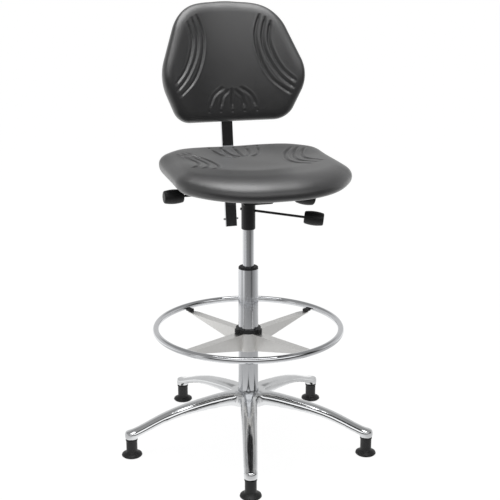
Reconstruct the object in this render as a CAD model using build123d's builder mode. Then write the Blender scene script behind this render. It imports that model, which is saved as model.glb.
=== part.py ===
from build123d import *
import os
from math import cos, radians, sin

os.makedirs("parts", exist_ok=True)

# Drafting chair: five-arm base on glides, gas column, sliding foot ring, tilting
# seat and a backrest on a sliding upright.  Millimetres, +Z up, the sitter faces
# -Y, and the floor is Z = 0.  The origin is the middle of the footprint.

# ---------------------------------------------------------------- clearances
running_gap = 0.05        # radial, between pieces that slide or turn on each other
pivot_gap = 0.05          # radial, around a hinge pin
side_gap = 0.5            # beside a plate that turns between two cheeks
end_play = 0.3            # along the column, under the retaining clip
ball_gap = 0.01           # between a bearing ball and its races

# ---------------------------------------------------------------- star base
arm_count = 5
foot_circle_radius = 307.3
arm_yaw = -108.0          # direction of the first arm, from +X
arm_width_root = 42.0
arm_width_tip = 32.0
arm_corner = 12.5         # rounding along the arm's top edges
arm_wall = 4.5
arm_root = (30.0, 132.0, 31.0)  # distance from the column, top height, depth
arm_inner_stations = [    # distance inwards from the foot circle, top height, depth
    (212.3, 128.0, 25.0),
    (157.3, 118.5, 21.0),
    (102.3, 105.0, 18.0),
    (52.3, 86.5, 17.0),
    (-4.7, 65.5, 16.0),
]
hub_radius = 44.0
hub_bottom = 100.0
hub_top = 135.0
hub_lip_height = 3.0
hub_lip_width = 5.0       # how far the raised lip stands out from the column tube
hollow_margin = 6.0       # solid metal between the hub's edge and an arm's hollow
foot_margin = 3.0         # and between the hollow and the foot's boss
boss_radius = 15.6
boss_bottom = 45.0
boss_top = 64.0

# ---------------------------------------------------------------- glides
flange_radius = 25.6
flange_height = 8.0
stem_radius = 13.75
bead_radius = 14.8
bead_height = 3.0
flange_corner = 2.5
flange_draft = 1.0
flange_shoulder = 1.5     # step out from the stem to the flange's cone
glide_pin_radius = 5.5
glide_pin_bottom = 16.0
glide_pin_top = 60.0

# ---------------------------------------------------------------- gas column
tube_radius = 25.0
tube_wall = 1.5
tube_top = 458.0
tube_floor = 3.0
bush_length = 78.0
bush_cap = 5.0
bush_cap_inset = 0.6
bush_cap_chamfer = 1.5
cylinder_radius = 14.0
cylinder_wall = 2.5
cylinder_top = 594.0
cylinder_head = 22.0
rod_radius = 5.0
rod_end_radius = 4.0
seal_length = 16.0
piston_length = 12.0
seat_drop = 95.0          # how far the seat can sink from where it stands
seat_rise = 165.0         # and how far it can rise
race_height = 2.5
race_radius = 13.0
ball_radius = 2.0
ball_count = 9
cage_share = 0.6          # of the balls' radius that the cage covers each way
cage_margin = 1.5
bump_height = 7.0
bump_radius = 12.0
circlip_height = 1.5
circlip_radius = 9.0
rod_tail = 4.0            # how far the rod's end reaches below its retaining clip
travel_spare = 2.0        # space left inside the column at each end of the travel
valve_pin_radius = 3.0
valve_pin_length = 26.0
valve_pin_play = 1.2         # free play under the gas lever

# ---------------------------------------------------------------- foot ring
ring_radius = 232.0
ring_tube_radius = 8.0
ring_height = 304.0
spoke_count = 4
spoke_yaw = 26.0
web_thickness = 3.0
web_depth_hub = 48.0
web_depth_tip = 5.0
web_flange_width = 24.0
web_flange_taper = 25.0   # length over which the flange narrows to the clip at its end
web_reach = 12.0          # how far inside the ring's centre line the spokes end
web_drop = 10.0           # of the spokes' top edge below the ring's centre
clip_width = 14.0
clip_inset = 20.0         # the ring clips start this far inside the ring's centre line
clip_length = 16.0
clip_drop = 10.0
clip_depth = 7.0
clip_corner = 1.5
sleeve_radius = 27.5
sleeve_drop = 58.0        # of the sleeve's lower end below the ring's centre
sleeve_length = 51.5
collar_radius = 31.5
collar_lobe_radius = 7.5
collar_lobes = 3
collar_drop = 9.5         # of the collar's underside below the ring's centre
collar_height = 9.5
collar_lip = 2.0
collet_height = 4.0
collet_slot = 3.0
collar_lobe_inset = 0.5   # how far the lobes' centres sit inside the collar's edge
collar_first_lobe = 71.0  # direction of the first lobe, from +X
collar_lip_overlap = 1.0

# ---------------------------------------------------------------- mechanism
socket_radius = 17.2
socket_grip = 36.0        # length of the cylinder that the socket holds
socket_corner = 2.0
socket_step = 1.5         # the bore above the cylinder is this much smaller in radius
socket_roof = 4.0
slot_side_gap = 0.3       # beside the gas lever where it crosses the socket
slot_end_gap = 0.8        # above and below it
housing_half_width = 43.0
housing_front = -76.0
housing_rear = 92.0
housing_rise = 40.0       # of the housing's floor above the cylinder's top
housing_depth = 22.0
housing_wall = 3.0
housing_chamfer = 9.0
ear_half_length = 17.0
ear_taper = 4.0
ear_corner = 8.0
ear_rise = 18.0           # above the housing's walls
tilt_pin_y = -58.0
tilt_pin_rise = 30.0      # this and the next rises are above the housing's floor
tilt_pin_radius = 5.0

# ---------------------------------------------------------------- levers
lever_rod_radius = 3.0
knob_length = 48.0
knob_radius = 17.5
knob_end_radius = 14.5
knob_corner = 4.0
knob_swell = 0.55         # share of the knob's length where it is widest
rod_grip = 30.0           # how far a rod enters its knob
release_rise = 12.0       # above the cylinder's top, where the gas lever crosses the axis
release_yaw = -24.3
release_slope = 6.4
release_knob_reach = 161.0
release_stub = 20.0
release_swing = 10.0
lever_pin_radius = 1.25
lever_pin_half = 7.0      # half its length, into the socket's wall on each side of the slot
lock_lever_y = 14.0
lock_lever_rise = 14.5
lock_lever_knob_x = -184.0
angle_lever_y = 8.0
angle_lever_rise = 13.0
angle_lever_slope = 13.0
angle_lever_reach = 104.0
bushing_radius = 7.0
bushing_length = 8.0
bushing_collar = 2.0      # how far a bushing stands out of the housing
pin_head_height = 2.5
pin_head_step = 2.5
cam_offset = 12.0         # gap between a side wall and a lever's cam
cam_length = 10.0
cam_radius = 9.0
cam_throw = 2.0
angle_straight = 8.0
angle_bend_radius = 8.0

# ---------------------------------------------------------------- seat
seat_slope = 3.3          # the seat leans down to the front by this many degrees
seat_standoff = 50.0      # of the seat's underside above the housing's floor, at the column
seat_thickness = 53.5
seat_edge = 24.0
seat_outline = [          # half width, distance back, corner radius
    (123.1, -255.5, 205.0),
    (214.6, -141.7, 70.0),
    (209.5, 65.0, 55.0),
    (118.3, 152.5, 150.0),
]
seat_core_inset = 42.0
seat_core_thickness = 12.0
carrier_half_width = 85.0
carrier_front = -105.0
carrier_rear = 122.0
carrier_thickness = 3.0
carrier_lug_centre = 36.0
carrier_lug_thickness = 5.0
lug_radius = 9.0
seat_screw_x = 70.0
seat_screw_front = -85.0
seat_screw_rear = 85.0
carrier_corner = 18.0
lug_root = 5.0            # how far the lugs start above the seat's underside
screw_radius = 3.0
screw_head_radius = 6.0
screw_head_height = 3.5
screw_length = 12.0

# ---------------------------------------------------------------- upright and back
upright_lean = 7.6
upright_y = 164.0         # centre of the upright where it passes the seat
upright_rise = 61.0       # and the height of that point above the seat's underside
upright_width = 30.0
upright_thickness = 10.0
upright_corner = 1.5
upright_bottom = -213.0   # along the upright, from where it passes the seat
upright_top = 215.0
stop_pin_at = -194.0
stop_pin_radius = 2.5
stop_pin_reach = 4.5
guide_bottom = -128.0
guide_top = -52.0
guide_wall = 3.0
cheek_low_margin = 4.0    # the bracket's cheeks meet the guide between these margins
cheek_high_margin = 12.0
back_pivot_radius = 5.0
back_pivot_y = 106.0
back_pivot_rise = 27.0
bracket_plate = 3.0
bracket_inner = upright_width / 2.0 + running_gap + guide_wall
clamp_gap = 0.3
clamp_knob_lobes = 6
clamp_screw_radius = 4.0
clamp_screw_at = -75.0
clamp_knob_radius = 17.0
clamp_knob_length = 20.0
clamp_lobe_radius = 4.5
clamp_lobe_overlap = 2.0  # how far the lobes sink into the knob's body
clamp_screw_length = 14.0

back_centre = 192.0       # along the upright
back_wrap_radius = 333.0
back_thickness = 48.0
back_edge = 17.0
back_outline = [          # half width, height from the backrest's centre, corner radius
    (141.5, -136.5, 50.0),
    (191.5, -28.0, 105.0),
    (115.5, 159.5, 110.0),
]
back_core_inset = 40.0
back_core_thickness = 8.0
back_core_depth = 10.0    # padding behind the core
mount_plate_half_width = 30.0
mount_plate_length = 130.0
mount_plate_thickness = 5.0
mount_plate_corner = 8.0
back_screw_x = 21.0
back_screw_y = 50.0
back_screw_length = 20.0

# ---------------------------------------------------------------- derived places
arm_step = 360.0 / arm_count
column_x = foot_circle_radius * (1.0 - cos(radians(arm_step / 2.0))) / 2.0
column_axis = Axis((column_x, 0, 0), (0, 0, 1))
arm_stations = [arm_root] + [
    (foot_circle_radius - inwards, top, depth) for inwards, top, depth in arm_inner_stations
]
web_top = ring_height - web_drop
web_end = ring_radius - web_reach
socket_bore = cylinder_radius - socket_step
sleeve_bottom = ring_height - sleeve_drop
sleeve_top = sleeve_bottom + sleeve_length
collar_bottom = ring_height - collar_drop
socket_bottom = cylinder_top - socket_grip
release_height = cylinder_top + release_rise
housing_bottom = cylinder_top + housing_rise
housing_top = housing_bottom + housing_depth
ear_top = housing_top + ear_rise
tilt_pin_z = housing_bottom + tilt_pin_rise
lock_lever_z = housing_bottom + lock_lever_rise
angle_lever_z = housing_bottom + angle_lever_rise
seat_underside = housing_bottom + seat_standoff
upright_z = seat_underside + upright_rise
back_pivot_z = housing_bottom + back_pivot_rise
tube_bore = tube_radius - tube_wall
race_low = hub_bottom + tube_floor
race_high = race_low + race_height + 2.0 * ball_radius
rod_shoulder = race_high + race_height
bump_top = rod_shoulder + bump_height
cylinder_bottom = bump_top + seat_drop + travel_spare
cylinder_bore = cylinder_radius - cylinder_wall
piston_bottom = cylinder_bottom + seal_length + seat_rise + travel_spare
seat_plane = Plane(
    origin=(column_x, 0, seat_underside),
    x_dir=(1, 0, 0),
    z_dir=(0, -sin(radians(seat_slope)), cos(radians(seat_slope))),
)
upright_plane = Plane(
    origin=(column_x, upright_y, upright_z),
    x_dir=(1, 0, 0),
    z_dir=(0, sin(radians(upright_lean)), cos(radians(upright_lean))),
)
lever_bores = [           # side, distance back, height
    (-1, lock_lever_y, lock_lever_z),
    (1, angle_lever_y, angle_lever_z),
]
# The backrest's own plane: X across, Y up the backrest, Z towards the sitter.
back_plane = Plane(
    origin=upright_plane.from_local_coords((0, 0, back_centre)),
    x_dir=(1, 0, 0),
    z_dir=upright_plane.y_dir * -1,
)
stop_pin_half = upright_width / 2.0 + stop_pin_reach
upright_front = upright_thickness / 2.0


def level(height):
    """Horizontal plane on the column axis at the given height."""
    return Plane(origin=(column_x, 0, height))


def radial(angle, distance, height=0.0):
    """Upright plane across a radius: local X is tangential and local Y is up."""
    out = Vector(cos(radians(angle)), sin(radians(angle)), 0)
    place = Vector(column_x, 0, height) + out * distance
    return Plane(origin=place, x_dir=(-out.Y, out.X, 0), z_dir=out)


def side_section(angle):
    """Upright plane along a radius: local X runs outwards and local Y is up."""
    out = Vector(cos(radians(angle)), sin(radians(angle)), 0)
    return Plane(origin=(column_x, 0, 0), x_dir=out, z_dir=(out.Y, -out.X, 0))


def add_ring(plane, outer, inner, height, mode=Mode.ADD):
    """Add a disc or ring of the given height above a plane to the piece being made."""
    with BuildSketch(plane) as ring:
        Circle(outer)
        if inner > 0:
            Circle(inner, mode=Mode.SUBTRACT)
    extrude(ring.sketch, amount=height, mode=mode)


def add_turned(plane, points, axis, mode=Mode.ADD):
    """Turn a closed outline of (radius, height) points about an axis."""
    with BuildSketch(plane) as section:
        with BuildLine():
            Polyline(*points, close=True)
        make_face()
    revolve(section.sketch, axis=axis, mode=mode)


def mirrored_outline(plane, half, inset=0.0):
    """Closed outline of a half outline and its mirror image, with rounded corners."""
    points = [(x, y) for x, y, _ in half] + [(-x, y) for x, y, _ in reversed(half)]
    radii = [r for _, _, r in half] + [r for _, _, r in reversed(half)]
    with BuildSketch(plane) as outline:
        with BuildLine():
            FilletPolyline(*points, radius=radii, close=True)
        make_face()
        if inset > 0:
            offset(amount=-inset, mode=Mode.REPLACE)
    return outline.sketch


def save(piece, name):
    """Label a finished piece and write it."""
    piece.part.label = name
    export_step(piece.part, f"parts/{name}.step")


# ================================================================ star base
arm_angles = [arm_yaw + arm_step * index for index in range(arm_count)]


def arm_width(distance):
    """Width of an arm at a distance from the column."""
    share = (distance - arm_stations[0][0]) / (arm_stations[-1][0] - arm_stations[0][0])
    return arm_width_root + (arm_width_tip - arm_width_root) * share


def arm_sections(angle, shrink):
    """Cross sections of one arm at its stations, or of its hollow when shrink is the wall."""
    sections = []
    for distance, top, depth in arm_stations:
        width = arm_width(distance) - 2.0 * shrink
        corner = arm_corner - shrink
        drop = -depth if shrink == 0 else -depth - arm_wall
        with BuildSketch(radial(angle, distance, top)) as station:
            with BuildLine():
                FilletPolyline(
                    (-width / 2, drop),
                    (-width / 2, -shrink),
                    (width / 2, -shrink),
                    (width / 2, drop),
                    radius=[0.0, corner, corner, 0.0],
                    close=True,
                )
            make_face()
        sections.append(station.sketch.faces()[0])
    return sections


with BuildPart() as star_base:
    add_ring(level(hub_bottom), hub_radius, 0, hub_top - hub_bottom - hub_lip_height)
    lip_plane = level(hub_top - hub_lip_height)
    add_ring(lip_plane, tube_radius + hub_lip_width, 0, hub_lip_height)
    for arm_angle in arm_angles:
        loft(arm_sections(arm_angle, 0.0))
        foot_place = radial(arm_angle, foot_circle_radius).origin
        add_ring(Plane(foot_place).offset(boss_bottom), boss_radius, 0, boss_top - boss_bottom)
    for arm_angle in arm_angles:
        hollow_start = hub_radius + hollow_margin
        hollow_end = foot_circle_radius - boss_radius - foot_margin
        with BuildPart(mode=Mode.PRIVATE) as hollow:
            loft(arm_sections(arm_angle, arm_wall))
            reach_plane = side_section(arm_angle)
            with BuildSketch(reach_plane) as reach:
                with BuildLine():
                    Polyline(
                        (hollow_start, 0),
                        (hollow_end, 0),
                        (hollow_end, hub_top * 2),
                        (hollow_start, hub_top * 2),
                        close=True,
                    )
                make_face()
            extrude(reach.sketch, amount=hub_radius, both=True, mode=Mode.INTERSECT)
        add(hollow.part, mode=Mode.SUBTRACT)
        foot_place = radial(arm_angle, foot_circle_radius).origin
        add_ring(
            Plane(foot_place).offset(boss_bottom),
            glide_pin_radius,
            0,
            glide_pin_top - boss_bottom,
            mode=Mode.SUBTRACT,
        )
    add_ring(level(0), tube_radius, 0, tube_top, mode=Mode.SUBTRACT)
save(star_base, "star_base")

for index, arm_angle in enumerate(arm_angles):
    foot_place = radial(arm_angle, foot_circle_radius).origin
    foot_section = Plane(origin=foot_place, x_dir=(1, 0, 0), z_dir=(0, -1, 0))
    with BuildPart() as glide:
        add_turned(
            foot_section,
            [
                (0, 0),
                (flange_radius - flange_corner, 0),
                (flange_radius, flange_corner),
                (flange_radius - flange_draft, flange_height - flange_corner),
                (stem_radius + flange_shoulder, flange_height + flange_corner),
                (stem_radius, flange_height + 2.0 * flange_corner),
                (stem_radius, boss_bottom - bead_height),
                (bead_radius, boss_bottom - bead_height),
                (bead_radius, boss_bottom),
                (glide_pin_radius, boss_bottom),
                (glide_pin_radius, glide_pin_bottom),
                (0, glide_pin_bottom),
            ],
            Axis(foot_place, (0, 0, 1)),
        )
    save(glide, f"glide_{index + 1}")

with BuildPart() as glide_pins:
    for arm_angle in arm_angles:
        foot_place = radial(arm_angle, foot_circle_radius).origin
        pin_height = glide_pin_top - glide_pin_bottom
        add_ring(Plane(foot_place).offset(glide_pin_bottom), glide_pin_radius, 0, pin_height)
save(glide_pins, "glide_pins")

# ================================================================ gas column
with BuildPart() as column_tube:
    add_ring(level(hub_bottom), tube_radius, tube_bore, tube_top - hub_bottom)
    add_ring(level(hub_bottom), tube_bore, rod_end_radius + running_gap, tube_floor)
save(column_tube, "column_tube")

with BuildPart() as guide_bush:
    cap_radius = tube_radius - bush_cap_inset
    add_ring(level(tube_top - bush_length), tube_bore, cylinder_radius + running_gap, bush_length)
    add_ring(level(tube_top), cap_radius, cylinder_radius + running_gap, bush_cap)
    cap_rim = guide_bush.edges().group_by(Axis.Z)[-1].sort_by(SortBy.RADIUS)[-1]
    chamfer(cap_rim, length=bush_cap_chamfer)
save(guide_bush, "guide_bush")

with BuildPart() as bearing_lower_race:
    add_ring(level(race_low), race_radius, rod_end_radius + running_gap, race_height)
save(bearing_lower_race, "bearing_lower_race")

ball_circle = (race_radius + rod_end_radius) / 2.0
ball_height = race_low + race_height + ball_radius
with BuildPart() as bearing_cage:
    cage_half = ball_radius * cage_share
    cage_outer = ball_circle + ball_radius + cage_margin
    cage_inner = ball_circle - ball_radius - cage_margin
    add_ring(level(ball_height - cage_half), cage_outer, cage_inner, 2.0 * cage_half)
    with Locations(level(ball_height)):
        with PolarLocations(ball_circle, ball_count):
            Sphere(ball_radius + running_gap, mode=Mode.SUBTRACT)
save(bearing_cage, "bearing_cage")

with BuildPart() as bearing_balls:
    with Locations(level(ball_height)):
        with PolarLocations(ball_circle, ball_count):
            Sphere(ball_radius - ball_gap)
save(bearing_balls, "bearing_balls")

with BuildPart() as bearing_upper_race:
    add_ring(level(race_high), race_radius, rod_end_radius, race_height)
save(bearing_upper_race, "bearing_upper_race")

with BuildPart() as piston_rod:
    rod_low = hub_bottom - circlip_height - rod_tail
    add_ring(level(rod_low), rod_end_radius, 0, rod_shoulder - rod_low)
    add_ring(level(rod_shoulder), rod_radius, 0, piston_bottom + piston_length - rod_shoulder)
save(piston_rod, "piston_rod")

with BuildPart() as retaining_clip:
    circlip_plane = level(hub_bottom - circlip_height - end_play)
    add_ring(circlip_plane, circlip_radius, rod_end_radius, circlip_height)
save(retaining_clip, "retaining_clip")

with BuildPart() as bump_stop:
    add_ring(level(rod_shoulder), bump_radius, rod_radius, bump_height)
save(bump_stop, "bump_stop")

with BuildPart() as piston:
    add_ring(level(piston_bottom), cylinder_bore - running_gap, rod_radius, piston_length)
save(piston, "piston")

with BuildPart() as gas_cylinder:
    cylinder_height = cylinder_top - cylinder_bottom
    add_ring(level(cylinder_bottom), cylinder_radius, cylinder_bore, cylinder_height)
    add_ring(
        level(cylinder_top - cylinder_head),
        cylinder_bore,
        valve_pin_radius + running_gap,
        cylinder_head,
    )
save(gas_cylinder, "gas_cylinder")

with BuildPart() as rod_seal:
    add_ring(level(cylinder_bottom), cylinder_bore, rod_radius + running_gap, seal_length)
save(rod_seal, "rod_seal")

valve_pin_top = release_height - lever_rod_radius - valve_pin_play
with BuildPart() as valve_pin:
    add_ring(level(valve_pin_top - valve_pin_length), valve_pin_radius, 0, valve_pin_length)
save(valve_pin, "valve_pin")

# ================================================================ foot ring
spoke_angles = [spoke_yaw + 360.0 / spoke_count * index for index in range(spoke_count)]


def add_spoke(angle):
    """Tapered web with a folded top flange, running from the sleeve towards the ring."""
    with BuildSketch(side_section(angle)) as web:
        with BuildLine():
            Polyline(
                (0, web_top),
                (web_end, web_top),
                (web_end, web_top - web_depth_tip),
                (sleeve_radius, web_top - web_depth_hub),
                (0, web_top - web_depth_hub),
                close=True,
            )
        make_face()
    extrude(web.sketch, amount=web_thickness / 2.0, both=True)
    out = Vector(cos(radians(angle)), sin(radians(angle)), 0)
    flange_plane = Plane(origin=(column_x, 0, web_top), x_dir=out, z_dir=(0, 0, 1))
    with BuildSketch(flange_plane) as flange:
        with BuildLine():
            Polyline(
                (0, -web_flange_width / 2.0),
                (web_end - web_flange_taper, -web_flange_width / 2.0),
                (web_end, -clip_width / 2.0),
                (web_end, clip_width / 2.0),
                (web_end - web_flange_taper, web_flange_width / 2.0),
                (0, web_flange_width / 2.0),
                close=True,
            )
        make_face()
    extrude(flange.sketch, amount=-web_thickness)


def add_torus(mode):
    """The foot ring's own tube, or the space that it takes."""
    with BuildSketch(side_section(0)) as ring_section:
        with Locations((ring_radius, ring_height)):
            Circle(ring_tube_radius)
    revolve(ring_section.sketch, axis=column_axis, mode=mode)


with BuildPart() as foot_ring_tube:
    add_torus(Mode.ADD)
save(foot_ring_tube, "foot_ring_tube")

with BuildPart() as ring_sleeve:
    sleeve_bore = tube_radius + running_gap
    add_ring(level(sleeve_bottom), sleeve_radius, sleeve_bore, sleeve_top - sleeve_bottom)
save(ring_sleeve, "ring_sleeve")

for index, spoke_angle in enumerate(spoke_angles):
    with BuildPart() as spoke:
        add_spoke(spoke_angle)
        add_ring(level(0), sleeve_radius, 0, tube_top, mode=Mode.SUBTRACT)
        add_torus(Mode.SUBTRACT)
    save(spoke, f"spoke_{index + 1}")

with BuildPart() as ring_clips:
    for spoke_angle in spoke_angles:
        with BuildSketch(radial(spoke_angle, ring_radius - clip_inset)) as clip_face:
            with Locations((0, ring_height - clip_drop + clip_depth / 2.0)):
                RectangleRounded(clip_width, clip_depth, clip_corner)
        extrude(clip_face.sketch, amount=clip_length)
    add_torus(Mode.SUBTRACT)
    with BuildPart(mode=Mode.PRIVATE) as all_spokes:
        for spoke_angle in spoke_angles:
            add_spoke(spoke_angle)
    add(all_spokes.part, mode=Mode.SUBTRACT)
save(ring_clips, "ring_clips")

with BuildPart() as clamp_collet:
    add_ring(level(sleeve_top), sleeve_radius, sleeve_bore, collet_height)
    with BuildSketch(level(sleeve_top)) as slot:
        with Locations((sleeve_radius, 0)):
            Rectangle(tube_radius, collet_slot)
    extrude(slot.sketch, amount=collet_height, mode=Mode.SUBTRACT)
save(clamp_collet, "clamp_collet")

with BuildPart() as lock_collar:
    with BuildSketch(level(collar_bottom)) as collar:
        Circle(collar_radius)
        lobe_circle = collar_radius - collar_lobe_inset
        with PolarLocations(lobe_circle, collar_lobes, start_angle=collar_first_lobe):
            Circle(collar_lobe_radius)
        Circle(sleeve_radius + running_gap, mode=Mode.SUBTRACT)
    extrude(collar.sketch, amount=collar_height)
    add_ring(
        level(collar_bottom + collar_height - collar_lip),
        sleeve_radius + collar_lip_overlap,
        tube_radius + running_gap,
        collar_lip,
    )
save(lock_collar, "lock_collar")

# ================================================================ mechanism
lever_out = Vector(cos(radians(release_yaw)), sin(radians(release_yaw)), 0)
lever_along = Vector(
    lever_out.X * cos(radians(release_slope)),
    lever_out.Y * cos(radians(release_slope)),
    -sin(radians(release_slope)),
)
lever_centre = Vector(column_x, 0, release_height)
lever_across = Vector(-lever_out.Y, lever_out.X, 0)
lever_pivot = lever_centre - lever_along * (socket_radius + socket_bore) / 2.0
lever_pin_plane = Plane(origin=lever_pivot - lever_across * lever_pin_half, z_dir=lever_across)

with BuildPart() as taper_socket:
    socket_height = housing_bottom - socket_bottom
    add_ring(level(socket_bottom), socket_radius, 0, socket_height)
    fillet(taper_socket.edges().group_by(Axis.Z)[0], radius=socket_corner)
    grip_length = cylinder_top - socket_bottom
    add_ring(level(socket_bottom), cylinder_radius, 0, grip_length, Mode.SUBTRACT)
    add_ring(
        level(cylinder_top),
        socket_bore,
        0,
        housing_bottom - cylinder_top - socket_roof,
        Mode.SUBTRACT,
    )
    slot_width = 2.0 * (lever_rod_radius + slot_side_gap)
    slot_height = 2.0 * (lever_rod_radius + slot_end_gap)
    slot_reach = socket_radius + socket_corner
    slot_drop = 2.0 * slot_reach * sin(radians(release_swing))
    slot_plane = Plane(origin=lever_centre, x_dir=lever_across, z_dir=lever_along)
    with BuildSketch(slot_plane) as far_slot:
        with Locations((0, -slot_drop / 2.0)):
            Rectangle(slot_width, slot_height + slot_drop)
    extrude(far_slot.sketch, amount=slot_reach, mode=Mode.SUBTRACT)
    with BuildSketch(slot_plane) as near_slot:
        Rectangle(slot_width, slot_height)
    extrude(near_slot.sketch, amount=-slot_reach, mode=Mode.SUBTRACT)
    add_ring(lever_pin_plane, lever_pin_radius, 0, 2.0 * lever_pin_half, Mode.SUBTRACT)
save(taper_socket, "taper_socket")

with BuildPart() as lever_pin:
    add_ring(lever_pin_plane, lever_pin_radius, 0, 2.0 * lever_pin_half)
save(lever_pin, "lever_pin")

with BuildPart() as housing:
    with BuildSketch(Plane.XZ.offset(-housing_rear)) as profile:
        with BuildLine():
            Polyline(
                (column_x - housing_half_width + housing_chamfer, housing_bottom),
                (column_x + housing_half_width - housing_chamfer, housing_bottom),
                (column_x + housing_half_width, housing_bottom + housing_chamfer),
                (column_x + housing_half_width, housing_top),
                (column_x - housing_half_width, housing_top),
                (column_x - housing_half_width, housing_bottom + housing_chamfer),
                close=True,
            )
        make_face()
    extrude(profile.sketch, amount=housing_rear - housing_front)
    with BuildSketch(Plane.XZ.offset(-housing_rear + housing_wall)) as inside:
        with BuildLine():
            inner_half = housing_half_width - housing_wall
            inner_low = housing_bottom + housing_wall
            Polyline(
                (column_x - inner_half + housing_chamfer, inner_low),
                (column_x + inner_half - housing_chamfer, inner_low),
                (column_x + inner_half, inner_low + housing_chamfer),
                (column_x + inner_half, housing_top),
                (column_x - inner_half, housing_top),
                (column_x - inner_half, inner_low + housing_chamfer),
                close=True,
            )
        make_face()
    inside_length = housing_rear - housing_front - 2.0 * housing_wall
    extrude(inside.sketch, amount=inside_length, mode=Mode.SUBTRACT)
    for side in (-1, 1):
        cheek_x = column_x + side * (housing_half_width - housing_wall / 2.0)
        with BuildSketch(Plane.YZ.offset(cheek_x)) as cheek:
            with BuildLine():
                FilletPolyline(
                    (tilt_pin_y - ear_half_length, housing_top - housing_wall),
                    (tilt_pin_y + ear_half_length, housing_top - housing_wall),
                    (tilt_pin_y + ear_half_length - ear_taper, ear_top),
                    (tilt_pin_y - ear_half_length + ear_taper, ear_top),
                    radius=[0.0, 0.0, ear_corner, ear_corner],
                    close=True,
                )
            make_face()
        extrude(cheek.sketch, amount=housing_wall / 2.0, both=True)
    with BuildSketch(Plane.YZ.offset(column_x)) as pin_bore:
        with Locations((tilt_pin_y, tilt_pin_z)):
            Circle(tilt_pin_radius)
    extrude(pin_bore.sketch, amount=housing_half_width, both=True, mode=Mode.SUBTRACT)
    for side, bore_y, bore_z in lever_bores:
        with BuildSketch(Plane.YZ.offset(column_x + side * housing_half_width)) as lever_bore:
            with Locations((bore_y, bore_z)):
                Circle(bushing_radius)
        extrude(lever_bore.sketch, amount=-side * 2.0 * housing_wall, mode=Mode.SUBTRACT)
save(housing, "mechanism_housing")

with BuildPart() as lever_bushings:
    for side, bore_y, bore_z in lever_bores:
        bush_start = column_x + side * (housing_half_width + bushing_collar)
        bush_plane = Plane(origin=(bush_start, bore_y, bore_z), z_dir=(-side, 0, 0))
        add_ring(bush_plane, bushing_radius, lever_rod_radius + pivot_gap, bushing_length)
save(lever_bushings, "lever_bushings")

with BuildPart() as tilt_pin:
    head_start = column_x - housing_half_width - pin_head_height
    pin_plane = Plane(origin=(head_start, tilt_pin_y, tilt_pin_z), z_dir=(1, 0, 0))
    pin_length = 2.0 * (housing_half_width + pin_head_height)
    add_ring(pin_plane, tilt_pin_radius, 0, pin_length)
    add_ring(pin_plane, tilt_pin_radius + pin_head_step, 0, pin_head_height)
    far_head = pin_plane.offset(pin_length - pin_head_height)
    add_ring(far_head, tilt_pin_radius + pin_head_step, 0, pin_head_height)
save(tilt_pin, "tilt_pin")


def add_knob(plane):
    """Barrel knob standing on a plane, with a blind bore for its rod."""
    section = Plane(origin=plane.origin, x_dir=plane.x_dir, z_dir=plane.y_dir * -1)
    with BuildSketch(section) as barrel:
        with BuildLine():
            Line((lever_rod_radius, 0), (knob_end_radius, 0))
            ThreePointArc(
                (knob_end_radius, 0),
                (knob_radius, knob_length * knob_swell),
                (knob_end_radius, knob_length),
            )
            Polyline(
                (knob_end_radius, knob_length),
                (0, knob_length),
                (0, rod_grip),
                (lever_rod_radius, rod_grip),
                (lever_rod_radius, 0),
            )
        make_face()
        fillet(barrel.vertices().sort_by(Axis.X)[-2:], radius=knob_corner)
    revolve(barrel.sketch, axis=Axis(plane.origin, plane.z_dir))


# ================================================================ levers
release_knob_start = release_knob_reach - knob_length / 2.0
with BuildPart() as release_rod:
    rod_plane = Plane(origin=lever_centre - lever_along * release_stub, z_dir=lever_along)
    add_ring(rod_plane, lever_rod_radius, 0, release_stub + release_knob_start + rod_grip)
    rod_bore = lever_pin_radius + pivot_gap
    add_ring(lever_pin_plane, rod_bore, 0, 2.0 * lever_pin_half, Mode.SUBTRACT)
save(release_rod, "release_rod")

with BuildPart() as release_knob:
    add_knob(Plane(origin=lever_centre + lever_along * release_knob_start, z_dir=lever_along))
save(release_knob, "release_knob")

cam_start = column_x - housing_half_width + cam_offset
with BuildPart() as lock_rod:
    lock_origin = (cam_start + cam_length, lock_lever_y, lock_lever_z)
    lock_knob_start = cam_start + cam_length - (column_x + lock_lever_knob_x + knob_length / 2.0)
    lock_plane = Plane(origin=lock_origin, z_dir=(-1, 0, 0))
    add_ring(lock_plane, lever_rod_radius, 0, lock_knob_start + rod_grip)
save(lock_rod, "lock_rod")

with BuildPart() as lock_knob:
    add_knob(lock_plane.offset(lock_knob_start))
save(lock_knob, "lock_knob")

with BuildPart() as lock_cam:
    cam_plane = Plane(origin=(cam_start, lock_lever_y, lock_lever_z), z_dir=(1, 0, 0))
    with BuildSketch(cam_plane) as cam:
        with Locations((cam_throw, 0)):
            Circle(cam_radius)
        Circle(lever_rod_radius, mode=Mode.SUBTRACT)
    extrude(cam.sketch, amount=cam_length)
save(lock_cam, "lock_cam")

angle_wall = Vector(column_x + housing_half_width, angle_lever_y, angle_lever_z)
angle_start = angle_wall - Vector(cam_offset + cam_length, 0, 0)
angle_bend = angle_wall + Vector(angle_straight, 0, 0)
angle_along = Vector(cos(radians(angle_lever_slope)), 0, -sin(radians(angle_lever_slope)))
angle_knob_start = angle_bend + angle_along * (angle_lever_reach - knob_length / 2.0)
with BuildPart() as angle_rod:
    with BuildLine() as angle_path:
        FilletPolyline(
            angle_start,
            angle_bend,
            angle_knob_start + angle_along * rod_grip,
            radius=angle_bend_radius,
        )
    with BuildSketch(Plane(origin=angle_start, z_dir=(1, 0, 0))) as rod_circle:
        Circle(lever_rod_radius)
    sweep(rod_circle.sketch, path=angle_path.line)
save(angle_rod, "angle_rod")

with BuildPart() as angle_knob:
    add_knob(Plane(origin=angle_knob_start, x_dir=(0, 1, 0), z_dir=angle_along))
save(angle_knob, "angle_knob")

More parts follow.
